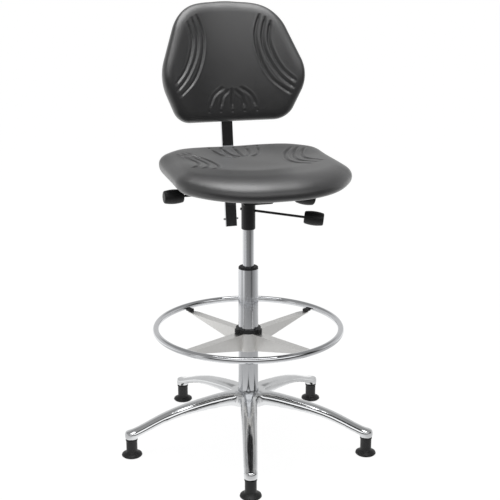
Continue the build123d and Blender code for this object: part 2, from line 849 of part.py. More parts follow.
with BuildPart() as angle_cam:
    with BuildSketch(Plane(origin=angle_start, z_dir=(1, 0, 0))) as cam:
        with Locations((cam_throw, 0)):
            Circle(cam_radius)
        Circle(lever_rod_radius, mode=Mode.SUBTRACT)
    extrude(cam.sketch, amount=cam_length)
save(angle_cam, "angle_cam")

# ================================================================ seat
seat_screw_places = [
    (-seat_screw_x, seat_screw_front),
    (-seat_screw_x, seat_screw_rear),
    (seat_screw_x, seat_screw_front),
    (seat_screw_x, seat_screw_rear),
]

with BuildPart() as seat_core:
    extrude(mirrored_outline(seat_plane, seat_outline, seat_core_inset), amount=seat_core_thickness)
    with BuildSketch(seat_plane) as screw_bores:
        with Locations(*seat_screw_places):
            Circle(screw_radius)
    extrude(screw_bores.sketch, amount=screw_length, mode=Mode.SUBTRACT)
save(seat_core, "seat_core")

with BuildPart() as seat_cushion:
    extrude(mirrored_outline(seat_plane, seat_outline), amount=seat_thickness)
    seat_normal = Axis(seat_plane.origin, seat_plane.z_dir)
    fillet(seat_cushion.faces().filter_by(seat_normal).edges(), radius=seat_edge)
    extrude(
        mirrored_outline(seat_plane, seat_outline, seat_core_inset),
        amount=seat_core_thickness,
        mode=Mode.SUBTRACT,
    )
save(seat_cushion, "seat_cushion")


def add_lug(pin_y, pin_z, centre_x, thickness, bore, top_z):
    """Upright lug around a cross pin, reaching up into the plate above it."""
    with BuildSketch(Plane.YZ.offset(centre_x)) as lug:
        with Locations((pin_y, pin_z)):
            Circle(lug_radius)
        with BuildLine():
            Polyline(
                (pin_y - lug_radius, pin_z),
                (pin_y + lug_radius, pin_z),
                (pin_y + lug_radius, top_z),
                (pin_y - lug_radius, top_z),
                close=True,
            )
        make_face()
        with Locations((pin_y, pin_z)):
            Circle(bore, mode=Mode.SUBTRACT)
    extrude(lug.sketch, amount=thickness / 2.0, both=True)


rear_lug_centre = bracket_inner + bracket_plate + side_gap + carrier_lug_thickness / 2.0
with BuildPart() as seat_carrier:
    for side in (-1, 1):
        add_lug(
            tilt_pin_y,
            tilt_pin_z,
            column_x + side * carrier_lug_centre,
            carrier_lug_thickness,
            tilt_pin_radius + pivot_gap,
            seat_underside + lug_root,
        )
        add_lug(
            back_pivot_y,
            back_pivot_z,
            column_x + side * rear_lug_centre,
            carrier_lug_thickness,
            back_pivot_radius,
            seat_underside + lug_root,
        )
    with BuildSketch(seat_plane) as above:
        Rectangle(4.0 * carrier_half_width, 4.0 * carrier_half_width)
    extrude(above.sketch, amount=seat_thickness, mode=Mode.SUBTRACT)
    carrier_length = carrier_rear - carrier_front
    with BuildSketch(seat_plane) as plate:
        with Locations((0, (carrier_rear + carrier_front) / 2.0)):
            RectangleRounded(2.0 * carrier_half_width, carrier_length, carrier_corner)
        with Locations(*seat_screw_places):
            Circle(screw_radius, mode=Mode.SUBTRACT)
    extrude(plate.sketch, amount=-carrier_thickness)
save(seat_carrier, "seat_carrier")

with BuildPart() as seat_screws:
    under_plate = seat_plane.offset(-carrier_thickness - screw_head_height)
    with BuildSketch(under_plate) as heads:
        with Locations(*seat_screw_places):
            Circle(screw_head_radius)
    extrude(heads.sketch, amount=screw_head_height)
    with BuildSketch(under_plate) as shanks:
        with Locations(*seat_screw_places):
            Circle(screw_radius)
    extrude(shanks.sketch, amount=screw_head_height + screw_length)
save(seat_screws, "seat_screws")

with BuildPart() as back_pin:
    pin_half = rear_lug_centre + carrier_lug_thickness / 2.0 + pin_head_height
    pin_plane = Plane(origin=(column_x - pin_half, back_pivot_y, back_pivot_z), z_dir=(1, 0, 0))
    add_ring(pin_plane, back_pivot_radius, 0, 2.0 * pin_half)
    add_ring(pin_plane, back_pivot_radius + pin_head_step, 0, pin_head_height)
    far_head = pin_plane.offset(2.0 * pin_half - pin_head_height)
    add_ring(far_head, back_pivot_radius + pin_head_step, 0, pin_head_height)
save(back_pin, "back_pin")

# ================================================================ back bracket
def upright_box(width, depth, low, high, mode=Mode.ADD):
    """Block along the upright between two places on it."""
    with BuildSketch(upright_plane.offset(low)) as section:
        Rectangle(width, depth)
    extrude(section.sketch, amount=high - low, mode=mode)


guide_width = 2.0 * bracket_inner
guide_depth = upright_thickness + 2.0 * (running_gap + guide_wall)
clamp_plane = Plane(
    origin=upright_plane.from_local_coords((0, upright_front + clamp_gap, clamp_screw_at)),
    x_dir=(1, 0, 0),
    z_dir=upright_plane.y_dir,
)

with BuildPart() as back_bracket:
    upright_box(guide_width, guide_depth, guide_bottom, guide_top)
    for side in (-1, 1):
        cheek_centre = column_x + side * (bracket_inner + bracket_plate / 2.0)
        with BuildSketch(Plane.YZ.offset(cheek_centre)) as cheek:
            with BuildLine():
                cheek_low = (0, guide_depth / 2.0, guide_bottom + cheek_low_margin)
                cheek_high = (0, guide_depth / 2.0, guide_top - cheek_high_margin)
                low_end = upright_plane.from_local_coords(cheek_low)
                high_end = upright_plane.from_local_coords(cheek_high)
                Polyline(
                    (back_pivot_y, back_pivot_z - lug_radius),
                    (low_end.Y, low_end.Z),
                    (high_end.Y, high_end.Z),
                    (back_pivot_y, back_pivot_z + lug_radius),
                    close=True,
                )
            make_face()
            with Locations((back_pivot_y, back_pivot_z)):
                Circle(lug_radius)
                Circle(back_pivot_radius + pivot_gap, mode=Mode.SUBTRACT)
        extrude(cheek.sketch, amount=bracket_plate / 2.0, both=True)
    bore_width = upright_width + 2.0 * running_gap
    bore_depth = upright_thickness + 2.0 * running_gap
    upright_box(bore_width, bore_depth, guide_bottom, guide_top, Mode.SUBTRACT)
    add_ring(clamp_plane, clamp_screw_radius + running_gap, 0, 2.0 * guide_wall, Mode.SUBTRACT)
save(back_bracket, "back_bracket")

with BuildPart() as clamp_screw:
    add_ring(clamp_plane, clamp_screw_radius, 0, clamp_screw_length + clamp_knob_length / 2.0)
save(clamp_screw, "clamp_screw")

with BuildPart() as clamp_knob:
    with BuildSketch(clamp_plane.offset(clamp_screw_length)) as star:
        lobe_centre = clamp_knob_radius - clamp_lobe_radius
        Circle(lobe_centre + clamp_lobe_overlap)
        with PolarLocations(lobe_centre, clamp_knob_lobes):
            Circle(clamp_lobe_radius)
    extrude(star.sketch, amount=clamp_knob_length)
    screw_seat = clamp_plane.offset(clamp_screw_length)
    add_ring(screw_seat, clamp_screw_radius, 0, clamp_knob_length / 2.0, Mode.SUBTRACT)
save(clamp_knob, "clamp_knob")

# ================================================================ upright and back
with BuildPart() as upright_bar:
    upright_box(upright_width, upright_thickness, upright_bottom, upright_top)
    upright_axis = Axis(upright_plane.origin, upright_plane.z_dir)
    fillet(upright_bar.edges().filter_by(upright_axis), radius=upright_corner)
    stop_plane = Plane(
        origin=upright_plane.from_local_coords((-stop_pin_half, 0, stop_pin_at)),
        z_dir=(1, 0, 0),
    )
    add_ring(stop_plane, stop_pin_radius, 0, 2.0 * stop_pin_half, Mode.SUBTRACT)
save(upright_bar, "upright_bar")

with BuildPart() as stop_pin:
    add_ring(stop_plane, stop_pin_radius, 0, 2.0 * stop_pin_half)
save(stop_pin, "stop_pin")

mount_plane = back_plane.offset(upright_front)
back_screw_places = [
    (-back_screw_x, -back_screw_y),
    (-back_screw_x, back_screw_y),
    (back_screw_x, -back_screw_y),
    (back_screw_x, back_screw_y),
]

with BuildPart() as back_plate:
    with BuildSketch(mount_plane) as plate:
        RectangleRounded(2.0 * mount_plate_half_width, mount_plate_length, mount_plate_corner)
        with Locations(*back_screw_places):
            Circle(screw_radius, mode=Mode.SUBTRACT)
    extrude(plate.sketch, amount=mount_plate_thickness)
save(back_plate, "back_plate")


def add_wrapped(outline, inner_radius, outer_radius):
    """Shell wrapped around the sitter between two radii, trimmed to an outline."""
    with BuildSketch(wrap_plane) as wrap:
        Circle(outer_radius)
        Circle(inner_radius, mode=Mode.SUBTRACT)
    extrude(wrap.sketch, amount=wrap_height, both=True)
    extrude(outline, amount=back_wrap_radius, mode=Mode.INTERSECT)


cushion_rear = upright_front + mount_plate_thickness
wrap_outer = back_wrap_radius + back_thickness / 2.0
wrap_inner = back_wrap_radius - back_thickness / 2.0
wrap_plane = Plane(
    origin=back_plane.from_local_coords((0, 0, cushion_rear + wrap_outer)),
    x_dir=(1, 0, 0),
    z_dir=back_plane.y_dir,
)
wrap_height = back_wrap_radius
core_outer = wrap_outer - back_core_depth
core_inner = core_outer - back_core_thickness
cushion_start = back_plane.offset(cushion_rear)

with BuildPart() as back_core:
    core_outline = mirrored_outline(cushion_start, back_outline, back_core_inset)
    add_wrapped(core_outline, core_inner, core_outer)
    with BuildSketch(mount_plane) as screw_bores:
        with Locations(*back_screw_places):
            Circle(screw_radius)
    extrude(screw_bores.sketch, amount=back_screw_length, mode=Mode.SUBTRACT)
save(back_core, "back_core")

with BuildPart() as back_cushion:
    add_wrapped(mirrored_outline(cushion_start, back_outline), wrap_inner, wrap_outer)
    wrapped_faces = back_cushion.faces().sort_by(SortBy.AREA)[-2:]
    fillet(wrapped_faces.edges(), radius=back_edge)
    add(back_core.part, mode=Mode.SUBTRACT)
    with BuildSketch(mount_plane) as screw_bores:
        with Locations(*back_screw_places):
            Circle(screw_radius)
    extrude(screw_bores.sketch, amount=back_screw_length, mode=Mode.SUBTRACT)
save(back_cushion, "back_cushion")

with BuildPart() as back_screws:
    head_plane = mount_plane.offset(-screw_head_height)
    with BuildSketch(head_plane) as heads:
        with Locations(*back_screw_places):
            Circle(screw_head_radius)
    extrude(heads.sketch, amount=screw_head_height)
    with BuildSketch(head_plane) as shanks:
        with Locations(*back_screw_places):
            Circle(screw_radius)
    extrude(shanks.sketch, amount=screw_head_height + back_screw_length)
save(back_screws, "back_screws")
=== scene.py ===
import logging
import math
from dataclasses import dataclass, field, replace
from enum import Enum
from typing import Callable, Iterable, Sequence

import bpy
import numpy as np
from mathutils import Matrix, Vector


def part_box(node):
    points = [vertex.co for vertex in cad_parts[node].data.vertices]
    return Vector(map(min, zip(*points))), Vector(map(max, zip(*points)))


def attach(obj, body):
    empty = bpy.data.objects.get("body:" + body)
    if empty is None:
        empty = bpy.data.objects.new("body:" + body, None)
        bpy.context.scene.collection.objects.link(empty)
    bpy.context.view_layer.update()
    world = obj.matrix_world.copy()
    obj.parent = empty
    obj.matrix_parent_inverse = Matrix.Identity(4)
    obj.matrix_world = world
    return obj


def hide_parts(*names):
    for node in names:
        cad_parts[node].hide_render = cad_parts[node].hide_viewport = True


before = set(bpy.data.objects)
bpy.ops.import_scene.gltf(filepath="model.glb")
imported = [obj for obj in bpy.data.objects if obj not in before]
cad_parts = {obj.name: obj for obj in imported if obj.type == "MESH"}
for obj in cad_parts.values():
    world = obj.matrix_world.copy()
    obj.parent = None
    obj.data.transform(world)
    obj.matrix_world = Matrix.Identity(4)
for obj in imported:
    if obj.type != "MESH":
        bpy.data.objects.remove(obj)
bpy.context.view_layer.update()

MM = 0.001
LOG = logging.getLogger("drafting_chair")

Colour = tuple[float, float, float]
Point2 = tuple[float, float]
Point3 = tuple[float, float, float]
Range = tuple[float, float]
Socket = bpy.types.NodeSocket

POLISH_FINENESS = 30.0      # how much finer a metal's polishing marks are than its patches
POLISH_DEPTH = 0.000002     # metres
MOTTLE_SCALE = 45.0         # repeats of a coat's mottling per metre
SKIN_MOTTLE_SCALE = 14.0    # and of the skin's
CORNER_STEPS = 24           # points on each rounded corner of an outline
CHANNEL_SAMPLES = 90        # points along a channel
CHANNEL_REACH = 4.0         # half widths of a channel beyond which it is nothing
LIP_SHARE = 0.16            # height of the raised lip beside a channel, as a share of its depth
LIP_PLACE, LIP_SPREAD = 2.1, 0.5  # where the lip lies and how wide it is, in half widths of the channel
RIM_FULLNESS = 2.1          # 2 is a quarter of a circle
RIM_EASE = 1.15             # the face starts this much further in than the rim
FACE_ROWS, EASE_ROWS, RIM_ROWS, UNDER_ROWS, FLAT_ROWS = 92, 4, 44, 13, 5
BOARD_RECESS = 2.0          # mm


# ---------------------------------------------------------------- node materials
class Pattern(Enum):
    """Procedural patterns that the finishes draw on."""

    NOISE = "ShaderNodeTexNoise"
    CELLS = "ShaderNodeTexVoronoi"


class NodeMaterial:
    """A material under construction, with short calls for its nodes."""

    def __init__(self, name: str) -> None:
        """Start an empty Principled material.

        Args:
            name: the material's name.
        """
        self.material = bpy.data.materials.new(name)
        self.material.use_nodes = True
        self.tree = self.material.node_tree
        self.shader = self.tree.nodes["Principled BSDF"]

    def set(self, **values: float | Colour) -> None:
        """Set constants on the shader's own sockets.

        Args:
            values: socket names with underscores for spaces, and their values.
        """
        for key, value in values.items():
            socket = self.shader.inputs[key.replace("_", " ")]
            socket.default_value = (*value, 1.0) if isinstance(value, tuple) else value

    def object_point(self, scale: Point3 = (1.0, 1.0, 1.0)) -> Socket:
        """Object coordinates in metres, stretched by a scale.

        Args:
            scale: factors along X, Y and Z.

        Returns:
            The socket with the stretched coordinates.
        """
        place = self.tree.nodes.new("ShaderNodeTexCoord")
        mapping = self.tree.nodes.new("ShaderNodeMapping")
        mapping.inputs["Scale"].default_value = scale
        self.tree.links.new(place.outputs["Object"], mapping.inputs["Vector"])
        return mapping.outputs["Vector"]

    def pattern(self, kind: Pattern, point: Socket, scale: float, detail: float = 3.0) -> Socket:
        """A grey pattern over the given coordinates.

        Args:
            kind: which pattern.
            point: coordinates.
            scale: repeats per metre.
            detail: octaves, where the pattern has them.

        Returns:
            The socket with the pattern's value.
        """
        node = self.tree.nodes.new(kind.value)
        self.tree.links.new(point, node.inputs["Vector"])
        node.inputs["Scale"].default_value = scale
        if "Detail" in node.inputs:
            node.inputs["Detail"].default_value = detail
        return node.outputs["Distance"] if kind is Pattern.CELLS else node.outputs[0]

    def graded(self, value: Socket, low: float, high: float) -> Socket:
        """Map a pattern's 0 to 1 onto a range.

        Args:
            value: the pattern.
            low: result at 0.
            high: result at 1.

        Returns:
            The socket with the mapped value.
        """
        node = self.tree.nodes.new("ShaderNodeMapRange")
        node.inputs["To Min"].default_value = low
        node.inputs["To Max"].default_value = high
        self.tree.links.new(value, node.inputs["Value"])
        return node.outputs["Result"]

    def tinted(self, value: Socket, low: Colour, high: Colour) -> Socket:
        """Mix two colours by a pattern.

        Args:
            value: the pattern.
            low: colour at 0.
            high: colour at 1.

        Returns:
            The socket with the colour.
        """
        ramp = self.tree.nodes.new("ShaderNodeValToRGB")
        ramp.color_ramp.elements[0].color = (*low, 1.0)
        ramp.color_ramp.elements[1].color = (*high, 1.0)
        self.tree.links.new(value, ramp.inputs["Fac"])
        return ramp.outputs["Color"]

    def plug(self, value: Socket, socket: str) -> None:
        """Link a value to one of the shader's sockets."""
        self.tree.links.new(value, self.shader.inputs[socket])

    def bump(self, heights: Sequence[tuple[Socket, float]]) -> None:
        """Add relief from one or more height patterns.

        Args:
            heights: pairs of a pattern and its depth in metres.
        """
        normal = None
        for height, depth in heights:
            node = self.tree.nodes.new("ShaderNodeBump")
            node.inputs["Distance"].default_value = depth
            node.inputs["Strength"].default_value = 1.0
            self.tree.links.new(height, node.inputs["Height"])
            if normal is not None:
                self.tree.links.new(normal, node.inputs["Normal"])
            normal = node.outputs["Normal"]
        self.plug(normal, "Normal")


@dataclass(frozen=True)
class MetalFinish:
    """Bare or plated metal with uneven polish, faint streaks and a slow ripple.

    Attributes:
        name: the material's name.
        slot: the record's material slot; not used.
        dark: colour in the dull patches.
        light: colour in the clear patches.
        smooth: roughness in the clear patches.
        dull: roughness in the dull patches.
        streak: how much finer the pattern is across than along Z.
        scale: repeats of the polish pattern per metre.
        ripple: depth of the ripple in metres.
        ripple_scale: repeats of the ripple per metre.
    """

    name: str
    slot: str
    dark: Colour
    light: Colour
    smooth: float
    dull: float
    streak: float = 1.0
    scale: float = 60.0
    ripple: float = 0.0
    ripple_scale: float = 25.0

    def build(self) -> bpy.types.Material:
        """Make the material.

        Returns:
            The finished material.
        """
        made = NodeMaterial(self.name)
        made.set(Metallic=1.0)
        point = made.object_point((1.0, 1.0, 1.0 / self.streak))
        polish = made.pattern(Pattern.NOISE, point, self.scale, 4.0)
        made.plug(made.tinted(polish, self.dark, self.light), "Base Color")
        made.plug(made.graded(polish, self.dull, self.smooth), "Roughness")
        marks = made.pattern(Pattern.NOISE, point, self.scale * POLISH_FINENESS, 2.0)
        heights = [(marks, POLISH_DEPTH)]
        if self.ripple > 0.0:
            ripple = made.pattern(Pattern.NOISE, made.object_point(), self.ripple_scale, 1.0)
            heights.append((ripple, self.ripple))
        made.bump(heights)
        return made.material


@dataclass(frozen=True)
class CoatFinish:
    """Paint or plastic with a fine grain.

    Attributes:
        name: the material's name.
        slot: the record's material slot; not used.
        dark: colour in the hollows of the mottling.
        light: colour on its tops.
        roughness: middle roughness.
        spread: how far the roughness varies.
        grain: repeats of the grain per metre.
        grain_depth: depth of the grain in metres.
        specular: specular level.
    """

    name: str
    slot: str
    dark: Colour
    light: Colour
    roughness: float
    spread: float = 0.06
    grain: float = 900.0
    grain_depth: float = 0.00004
    specular: float = 0.5

    def build(self) -> bpy.types.Material:
        """Make the material.

        Returns:
            The finished material.
        """
        made = NodeMaterial(self.name)
        made.set(Specular_IOR_Level=self.specular)
        point = made.object_point()
        mottle = made.pattern(Pattern.NOISE, point, MOTTLE_SCALE, 4.0)
        dull = made.graded(mottle, self.roughness - self.spread, self.roughness + self.spread)
        made.plug(made.tinted(mottle, self.dark, self.light), "Base Color")
        made.plug(dull, "Roughness")
        made.bump([(made.pattern(Pattern.NOISE, point, self.grain, 2.0), self.grain_depth)])
        return made.material


@dataclass(frozen=True)
class SkinFinish:
    """Moulded foam skin with a fine leather grain.

    Attributes:
        name: the material's name.
        slot: the record's material slot; not used.
        dark: colour in the grain.
        light: colour on top of it.
        roughness: middle roughness.
        spread: how far the roughness varies.
        cells: grain cells per metre.
        cell_depth: depth of the grain in metres.
        coat: weight of the smooth coat that moulding leaves.
        coat_roughness: roughness of that coat.
        sheen: weight of the sheen.
    """

    name: str
    slot: str
    dark: Colour
    light: Colour
    roughness: float
    spread: float = 0.05
    cells: float = 620.0
    cell_depth: float = 0.00016
    coat: float = 0.6
    coat_roughness: float = 0.36
    sheen: float = 0.06

    def build(self) -> bpy.types.Material:
        """Make the material.

        Returns:
            The finished material.
        """
        made = NodeMaterial(self.name)
        made.set(Specular_IOR_Level=1.0)
        made.set(Coat_Weight=self.coat, Coat_Roughness=self.coat_roughness, Coat_IOR=1.5)
        made.set(Sheen_Weight=self.sheen, Sheen_Roughness=0.5, Sheen_Tint=(1.0, 1.0, 1.0))
        point = made.object_point()
        mottle = made.pattern(Pattern.NOISE, point, SKIN_MOTTLE_SCALE, 5.0)
        grain = made.pattern(Pattern.CELLS, point, self.cells)
        pores = made.pattern(Pattern.NOISE, point, self.cells * 2.5, 2.0)
        made.plug(made.tinted(mottle, self.dark, self.light), "Base Color")
        dull = made.graded(mottle, self.roughness - self.spread, self.roughness + self.spread)
        made.plug(dull, "Roughness")
        made.bump([(grain, self.cell_depth), (pores, self.cell_depth * 0.4)])
        return made.material


@dataclass(frozen=True)
class WoodFinish:
    """Plywood with long soft grain.

    Attributes:
        name: the material's name.
        slot: the record's material slot; not used.
        dark: colour of the late wood.
        light: colour of the early wood.
        grain: repeats of the grain per metre, across it.
        stretch: the same along it, as a share.
        grain_depth: depth of the grain in metres.
    """

    name: str
    slot: str
    dark: Colour
    light: Colour
    grain: float = 260.0
    stretch: float = 0.06
    grain_depth: float = 0.00008

    def build(self) -> bpy.types.Material:
        """Make the material.

        Returns:
            The finished material.
        """
        made = NodeMaterial(self.name)
        made.set(Roughness=0.7)
        grain = made.pattern(Pattern.NOISE, made.object_point((1.0, self.stretch, 1.0)), self.grain, 6.0)
        made.plug(made.tinted(grain, self.dark, self.light), "Base Color")
        made.bump([(grain, self.grain_depth)])
        return made.material


CAST_ALUMINIUM = MetalFinish(
    "polished_casting", "polished_aluminium", (0.72, 0.73, 0.74), (0.86, 0.87, 0.88), 0.06, 0.14,
    scale=35.0, ripple=0.0006, ripple_scale=18.0,
)
RING_CHROME = MetalFinish("ring_chrome", "chrome", (0.68, 0.69, 0.71), (0.78, 0.79, 0.81), 0.03, 0.08)
UPRIGHT_CHROME = MetalFinish(
    "upright_chrome", "chrome", (0.66, 0.67, 0.69), (0.76, 0.77, 0.79), 0.06, 0.12, streak=8.0,
)
COLUMN_CHROME = MetalFinish(
    "column_chrome", "chrome", (0.6, 0.61, 0.63), (0.7, 0.71, 0.73), 0.12, 0.2, streak=12.0, scale=90.0,
)
PRESSED_STEEL = MetalFinish(
    "pressed_steel", "grey_steel", (0.88, 0.87, 0.85), (0.95, 0.945, 0.93), 0.28, 0.38, scale=120.0,
)
FASTENER_STEEL = MetalFinish("fastener_steel", "satin_steel", (0.5, 0.5, 0.52), (0.62, 0.62, 0.64), 0.25, 0.4)
BEARING_STEEL = MetalFinish("bearing_steel", "bearing_steel", (0.6, 0.6, 0.62), (0.7, 0.7, 0.72), 0.1, 0.2)
BLACK_COAT = CoatFinish("black_coat", "black_steel", (0.012, 0.012, 0.013), (0.02, 0.02, 0.021), 0.42)
BLACK_PLASTIC = CoatFinish(
    "black_plastic", "black_plastic", (0.01, 0.01, 0.011), (0.017, 0.017, 0.018), 0.45, grain=1400.0,
)
BUSH_PLASTIC = CoatFinish("bush_plastic", "bush_plastic", (0.014, 0.014, 0.015), (0.022, 0.022, 0.023), 0.55)
STOP_RUBBER = CoatFinish("stop_rubber", "stop_rubber", (0.02, 0.02, 0.02), (0.03, 0.03, 0.03), 0.8)
CHAIR_SKIN = SkinFinish("moulded_skin", "black_cover", (0.017, 0.017, 0.018), (0.026, 0.026, 0.027), 0.38)
BOARD_WOOD = WoodFinish("board_stained", "plywood", (0.012, 0.011, 0.01), (0.03, 0.028, 0.026))

Finish = MetalFinish | CoatFinish | SkinFinish | WoodFinish
_built: dict[str, bpy.types.Material] = {}


def material_of(finish: Finish) -> bpy.types.Material:
    """The finish's material, made once.

    Args:
        finish: the finish.

    Returns:
        Its material.
    """
    if finish.name not in _built:
        _built[finish.name] = finish.build()
    return _built[finish.name]


def dress(piece: bpy.types.Object, finish: Finish) -> None:
    """Give a piece one finish all over."""
    piece.data.materials.clear()
    piece.data.materials.append(material_of(finish))


def dress_nodes(finish: Finish, *names: str) -> None:
    """Give CAD nodes a finish and report them.

    Args:
        finish: the finish.
        names: the nodes.
    """
    for name in names:
        dress(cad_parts[name], finish)
        LOG.info("%s: %s", name, finish.name)


# ---------------------------------------------------------------- mesh helpers
def mesh_piece(
    name: str, points: np.ndarray, faces: Iterable[Sequence[int]], smooth: bool = True
) -> bpy.types.Object:
    """A mesh object in the scene.

    Args:
        name: the piece's name.
        points: N by 3 positions in metres.
        faces: corner numbers of each face.
        smooth: whether its faces are shaded smooth.

    Returns:
        The new object.
    """
    mesh = bpy.data.meshes.new(name)
    mesh.from_pydata([tuple(p) for p in points], [], [tuple(f) for f in faces])
    mesh.validate()
    mesh.polygons.foreach_set("use_smooth", [smooth] * len(mesh.polygons))
    piece = bpy.data.objects.new(name, mesh)
    bpy.context.scene.collection.objects.link(piece)
    return piece


def ring_faces(rows: int, columns: int) -> list[tuple[int, int, int, int]]:
    """Quads between closed rings of points, each ring after the one before.

    Args:
        rows: number of rings.
        columns: points in a ring.

    Returns:
        The faces' corner numbers.
    """
    faces = []
    for row in range(rows - 1):
        for column in range(columns):
            after = (column + 1) % columns
            low = row * columns
            high = low + columns
            faces.append((low + column, low + after, high + after, high + column))
    return faces


def rounded_outline(corners: Sequence[Point3], count: int) -> np.ndarray:
    """Closed outline of a polygon with rounded corners, as evenly spaced points.

    Args:
        corners: x, y and corner radius of each corner, anticlockwise.
        count: how many points.

    Returns:
        A count by 2 array, anticlockwise, starting in the middle of the last side.
    """
    places = [np.array(corner[:2]) for corner in corners]
    start = (places[-1] + places[0]) / 2.0
    path = [start]
    for index, place in enumerate(places):
        before = places[index - 1] - place
        after = places[(index + 1) % len(places)] - place
        before /= np.linalg.norm(before)
        after /= np.linalg.norm(after)
        half = math.acos(np.clip(before @ after, -1.0, 1.0)) / 2.0
        radius = corners[index][2]
        inwards = before + after
        centre = place + inwards / np.linalg.norm(inwards) * radius / math.sin(half)
        first = place + before * radius / math.tan(half) - centre
        turn = math.pi - 2.0 * half
        for step in np.linspace(0.0, turn, CORNER_STEPS):
            swing = np.array([[math.cos(step), -math.sin(step)], [math.sin(step), math.cos(step)]])
            path.append(centre + swing @ first)
    path.append(start)
    line = np.array(path)
    lengths = np.concatenate([[0.0], np.cumsum(np.linalg.norm(np.diff(line, axis=0), axis=1))])
    spots = np.linspace(0.0, lengths[-1], count, endpoint=False)
    return np.stack([np.interp(spots, lengths, line[:, axis]) for axis in (0, 1)], axis=1)


def outward_normals(outline: np.ndarray) -> np.ndarray:
    """Unit normals that point out of a closed outline.

    Args:
        outline: the outline's points, anticlockwise.

    Returns:
        One normal for each point.
    """
    along = np.roll(outline, -1, axis=0) - np.roll(outline, 1, axis=0)
    out = np.stack([along[:, 1], -along[:, 0]], axis=1)
    return out / np.linalg.norm(out, axis=1, keepdims=True)


def smooth_curve(points: Sequence[Point2], count: int) -> np.ndarray:
    """Catmull-Rom curve through a few points.

    Args:
        points: the points, in order.
        count: samples in all.

    Returns:
        A count by 2 array.
    """
    knots = np.array([points[0], *points, points[-1]], dtype=float)
    spans = len(points) - 1
    result = []
    for spot in np.linspace(0.0, spans, count):
        index = min(int(spot), spans - 1)
        t = spot - index
        a, b, c, d = knots[index : index + 4]
        result.append(
            0.5 * (2 * b + (c - a) * t + (2 * a - 5 * b + 4 * c - d) * t * t + (3 * b - a - 3 * c + d) * t**3)
        )
    return np.array(result)


def evened(values: np.ndarray, reach: int) -> np.ndarray:
    """Columns of values around a closed ring, each averaged over its neighbours.

    Args:
        values: one row for each point of the ring.
        reach: how many neighbours on each side take part.

    Returns:
        The averaged rows.
    """
    weights = np.hanning(2 * reach + 3)[1:-1]
    padded = np.concatenate([values[-reach:], values, values[:reach]])
    return np.stack([np.convolve(column, weights / weights.sum(), "valid") for column in padded.T], axis=1)


def step_up(value: np.ndarray, low: float, high: float) -> np.ndarray:
    """Smooth step from 0 at low to 1 at high."""
    share = np.clip((value - low) / (high - low), 0.0, 1.0)
    return share * share * (3.0 - 2.0 * share)


# ---------------------------------------------------------------- cushions
@dataclass(frozen=True)
class Rim:
    """How a cushion's edge is rounded on one side of it, in mm.

    Attributes:
        face_in: how far the rounding reaches onto the face.
        face_down: how far down it reaches from the face.
        under_in: how far it reaches onto the underside.
    """

    face_in: float
    face_down: float
    under_in: float

    def values(self) -> np.ndarray:
        """The three sizes as an array."""
        return np.array([self.face_in, self.face_down, self.under_in])


@dataclass(frozen=True)
class Groove:
    """A soft channel pressed into a cushion.

    Attributes:
        points: a few points along it, in mm on the cushion's face.
        depth: depth in mm.
        width: half width of the channel in mm.
        fade: length over which each end runs out, in mm.
        end_share: share of the depth left at each end.
    """

    points: tuple[Point2, ...]
    depth: float = 3.6
    width: float = 3.1
    fade: float = 9.0
    end_share: float = 0.35

    def carve(self, places: np.ndarray) -> np.ndarray:
        """How deep the channel is at some places.

        Args:
            places: N by 2 places on the face, in mm.

        Returns:
            N depths in mm.
        """
        line = smooth_curve(self.points, CHANNEL_SAMPLES)
        steps = np.concatenate([[0.0], np.cumsum(np.linalg.norm(np.diff(line, axis=0), axis=1))])
        low = line.min(0) - CHANNEL_REACH * self.width
        high = line.max(0) + CHANNEL_REACH * self.width
        near = np.where(np.all((places > low) & (places < high), axis=1))[0]
        cut = np.zeros(len(places))
        if len(near) == 0:
            return cut
        gaps = np.linalg.norm(places[near, None, :] - line[None, :, :], axis=2)
        nearest = gaps.argmin(1)
        distance = gaps[np.arange(len(near)), nearest]
        along = steps[nearest]
        ends = np.minimum(along, steps[-1] - along)
        run_out = step_up(ends, 0.0, self.fade)
        side = distance / self.width
        profile = np.exp(-side * side) - LIP_SHARE * np.exp(-((side - LIP_PLACE) ** 2) / LIP_SPREAD)
        cut[near] = self.depth * (self.end_share + (1.0 - self.end_share) * run_out) * profile
        return cut


@dataclass(frozen=True)
class Dimple:
    """A small round dent at the end of a channel.

    Attributes:
        place: its centre on the face, in mm.
        depth: depth in mm.
        radius: radius in mm.
    """

    place: Point2
    depth: float = 2.0
    radius: float = 2.6

    def carve(self, places: np.ndarray) -> np.ndarray:
        """How deep the dent is at some places on the face, in mm."""
        gap = np.linalg.norm(places - np.array(self.place), axis=1) / self.radius
        return self.depth * np.exp(-gap * gap)


def both_sides(grooves: Sequence[Groove]) -> list[Groove]:
    """The grooves and their mirror images."""
    mirrored = [replace(groove, points=tuple((-x, y) for x, y in groove.points)) for groove in grooves]
    return [*grooves, *mirrored]


